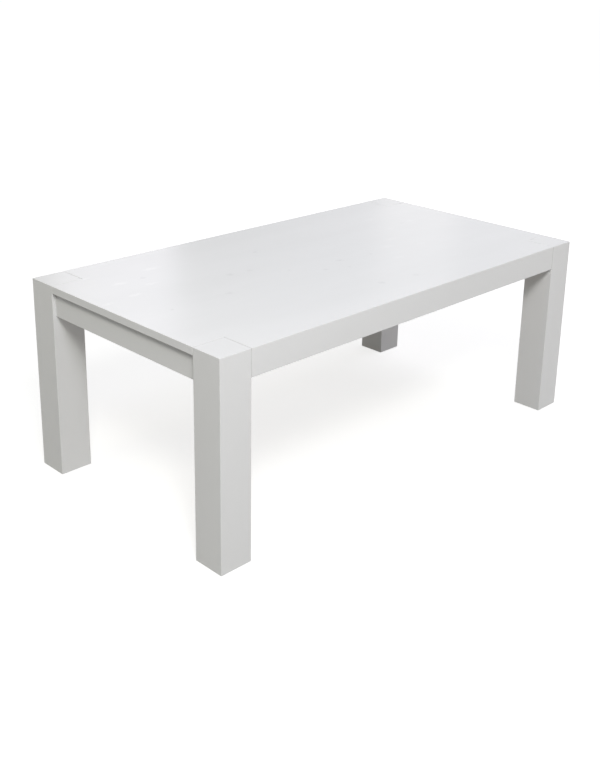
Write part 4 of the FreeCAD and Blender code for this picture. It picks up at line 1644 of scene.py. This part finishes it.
@dataclass
class Studio:
    """The floor, the white surroundings, the lamps and the camera.

    The camera's focal length and the crossing of its axis are in pixels of the frame.
    """

    floor_radius: float = 60.0
    floor_segments: int = 96
    ambience: float = 0.246
    ambient_colour: Colour = (1.0, 0.993, 0.965)
    lamps: tuple[Lamp, ...] = (
        Lamp("key", (-4.2, -4.9, 6.0), (-0.5, -0.3, 0.5), 1.6, 1.6, 250.0, (0.993, 1.0, 0.928)),
        Lamp("near_corner", (-1.7, -1.9, 2.7), (-0.8, -0.4, 0.76), 0.7, 0.7, 24.6, (0.944, 0.933, 1.0)),
        Lamp("front_right", (2.6, -4.2, 2.0), (0.5, 0.0, 0.5), 2.0, 2.0, 35.8, (0.992, 0.966, 1.0)),
        Lamp("back_low", (4.2, 5.0, 0.7), (0.3, 0.3, 0.4), 3.0, 1.0, 32.0, (1.0, 0.99, 0.96)),
        Lamp("over_left", (-2.2, 0.9, 2.8), (-0.8, 0.2, 0.76), 0.7, 0.7, 4.2, (1.0, 0.928, 0.567),
             Cast.BOTH),
        Lamp("over_middle", (-0.3, -0.4, 2.9), (-0.3, -0.2, 0.76), 1.0, 1.0, 3.4, (0.427, 0.575, 1.0)),
        Lamp("over_right", (1.8, 0.2, 2.8), (0.8, 0.0, 0.76), 1.4, 1.4, 21.8, (0.912, 0.911, 1.0),
             Cast.BOTH),
        Lamp("left_sheen", (0.90, 2.77, 1.74), (-0.8, 0.3, 0.762), 0.8, 1.4, 4.4, (0.934, 0.904, 1.0),
             Cast.SHEEN),
        Lamp("right_sheen", (3.33, 2.19, 1.72), (0.6, 0.0, 0.762), 0.6, 1.4, 1.16, (1.0, 0.957, 0.919),
             Cast.SHEEN),
    )
    eye: Triple = (-2.88247, -2.77920, 1.96623)
    heading: float = -46.2204
    pitch: float = -17.6579
    roll: float = 1.41618
    frame_width: float = 600.0
    frame_height: float = 780.0
    focal_length: float = 1040.485
    axis_across: float = 325.0
    axis_down: float = 275.037
    film: float = 36.0

    def build(self) -> None:
        """Sets up the whole studio."""
        self.lay_floor()
        self.surround()
        for lamp in self.lamps:
            lamp.light()
        self.set_camera()
        bpy.context.scene.view_settings.view_transform = "Standard"
        LOG.info("studio: %d lamps", len(self.lamps))

    def lay_floor(self) -> None:
        """Lays a wide round floor under the table."""
        work = bmesh.new()
        bmesh.ops.create_circle(work, cap_ends=True, radius=self.floor_radius, segments=self.floor_segments)
        mesh = release(work, "floor")
        mesh.materials.append(StudioFloor().make("studio_floor"))
        floor = hang("floor", mesh)

    def surround(self) -> None:
        """Makes the surroundings white to look at, and a softer light than that on the table."""
        world = bpy.data.worlds.new("studio")
        world.use_nodes = True
        bpy.context.scene.world = world
        graph = Graph(world.node_tree)
        soft = {"Color": (*self.ambient_colour, 1.0), "Strength": self.ambience}
        light = graph.add("ShaderNodeBackground", {}, soft)
        white = graph.add("ShaderNodeBackground", {}, {"Color": (1.0, 1.0, 1.0, 1.0), "Strength": 1.0})
        both = graph.add("ShaderNodeMixShader", {}, {0: graph.seen_directly(), 1: light, 2: white})
        graph.add("ShaderNodeOutputWorld", {}, {"Surface": both})

    def set_camera(self) -> None:
        """Sets the camera."""
        camera = bpy.data.cameras.new("camera")
        camera.sensor_width = self.film
        camera.lens = self.focal_length * self.film / self.frame_height
        camera.shift_x = (self.frame_width / 2 - self.axis_across) / self.frame_height
        camera.shift_y = (self.axis_down - self.frame_height / 2) / self.frame_height
        camera.clip_end = 2 * self.floor_radius
        holder = hang("camera", camera)
        place = Matrix.Translation(self.eye)
        for angle, axis in ((self.heading, "Z"), (90.0 + self.pitch, "X"), (self.roll, "Z")):
            place = place @ Matrix.Rotation(math.radians(angle), 4, axis)
        holder.matrix_world = place
        bpy.context.scene.camera = holder


# ---- all of it


def main() -> None:
    """Builds the table's dress and the studio, in order."""
    logging.basicConfig(level=logging.INFO, format="%(name)s: %(message)s")
    zinc = ZincPlate().make("zinc_plate")
    nylon = MouldedNylon().make("moulded_nylon")
    Boards().build()
    CornerJoints().build(zinc)
    CrossRails().build(zinc)
    EndClips().build(zinc)
    Levellers().build(zinc, nylon)
    Studio().build()


if __name__ == "__main__":
    main()
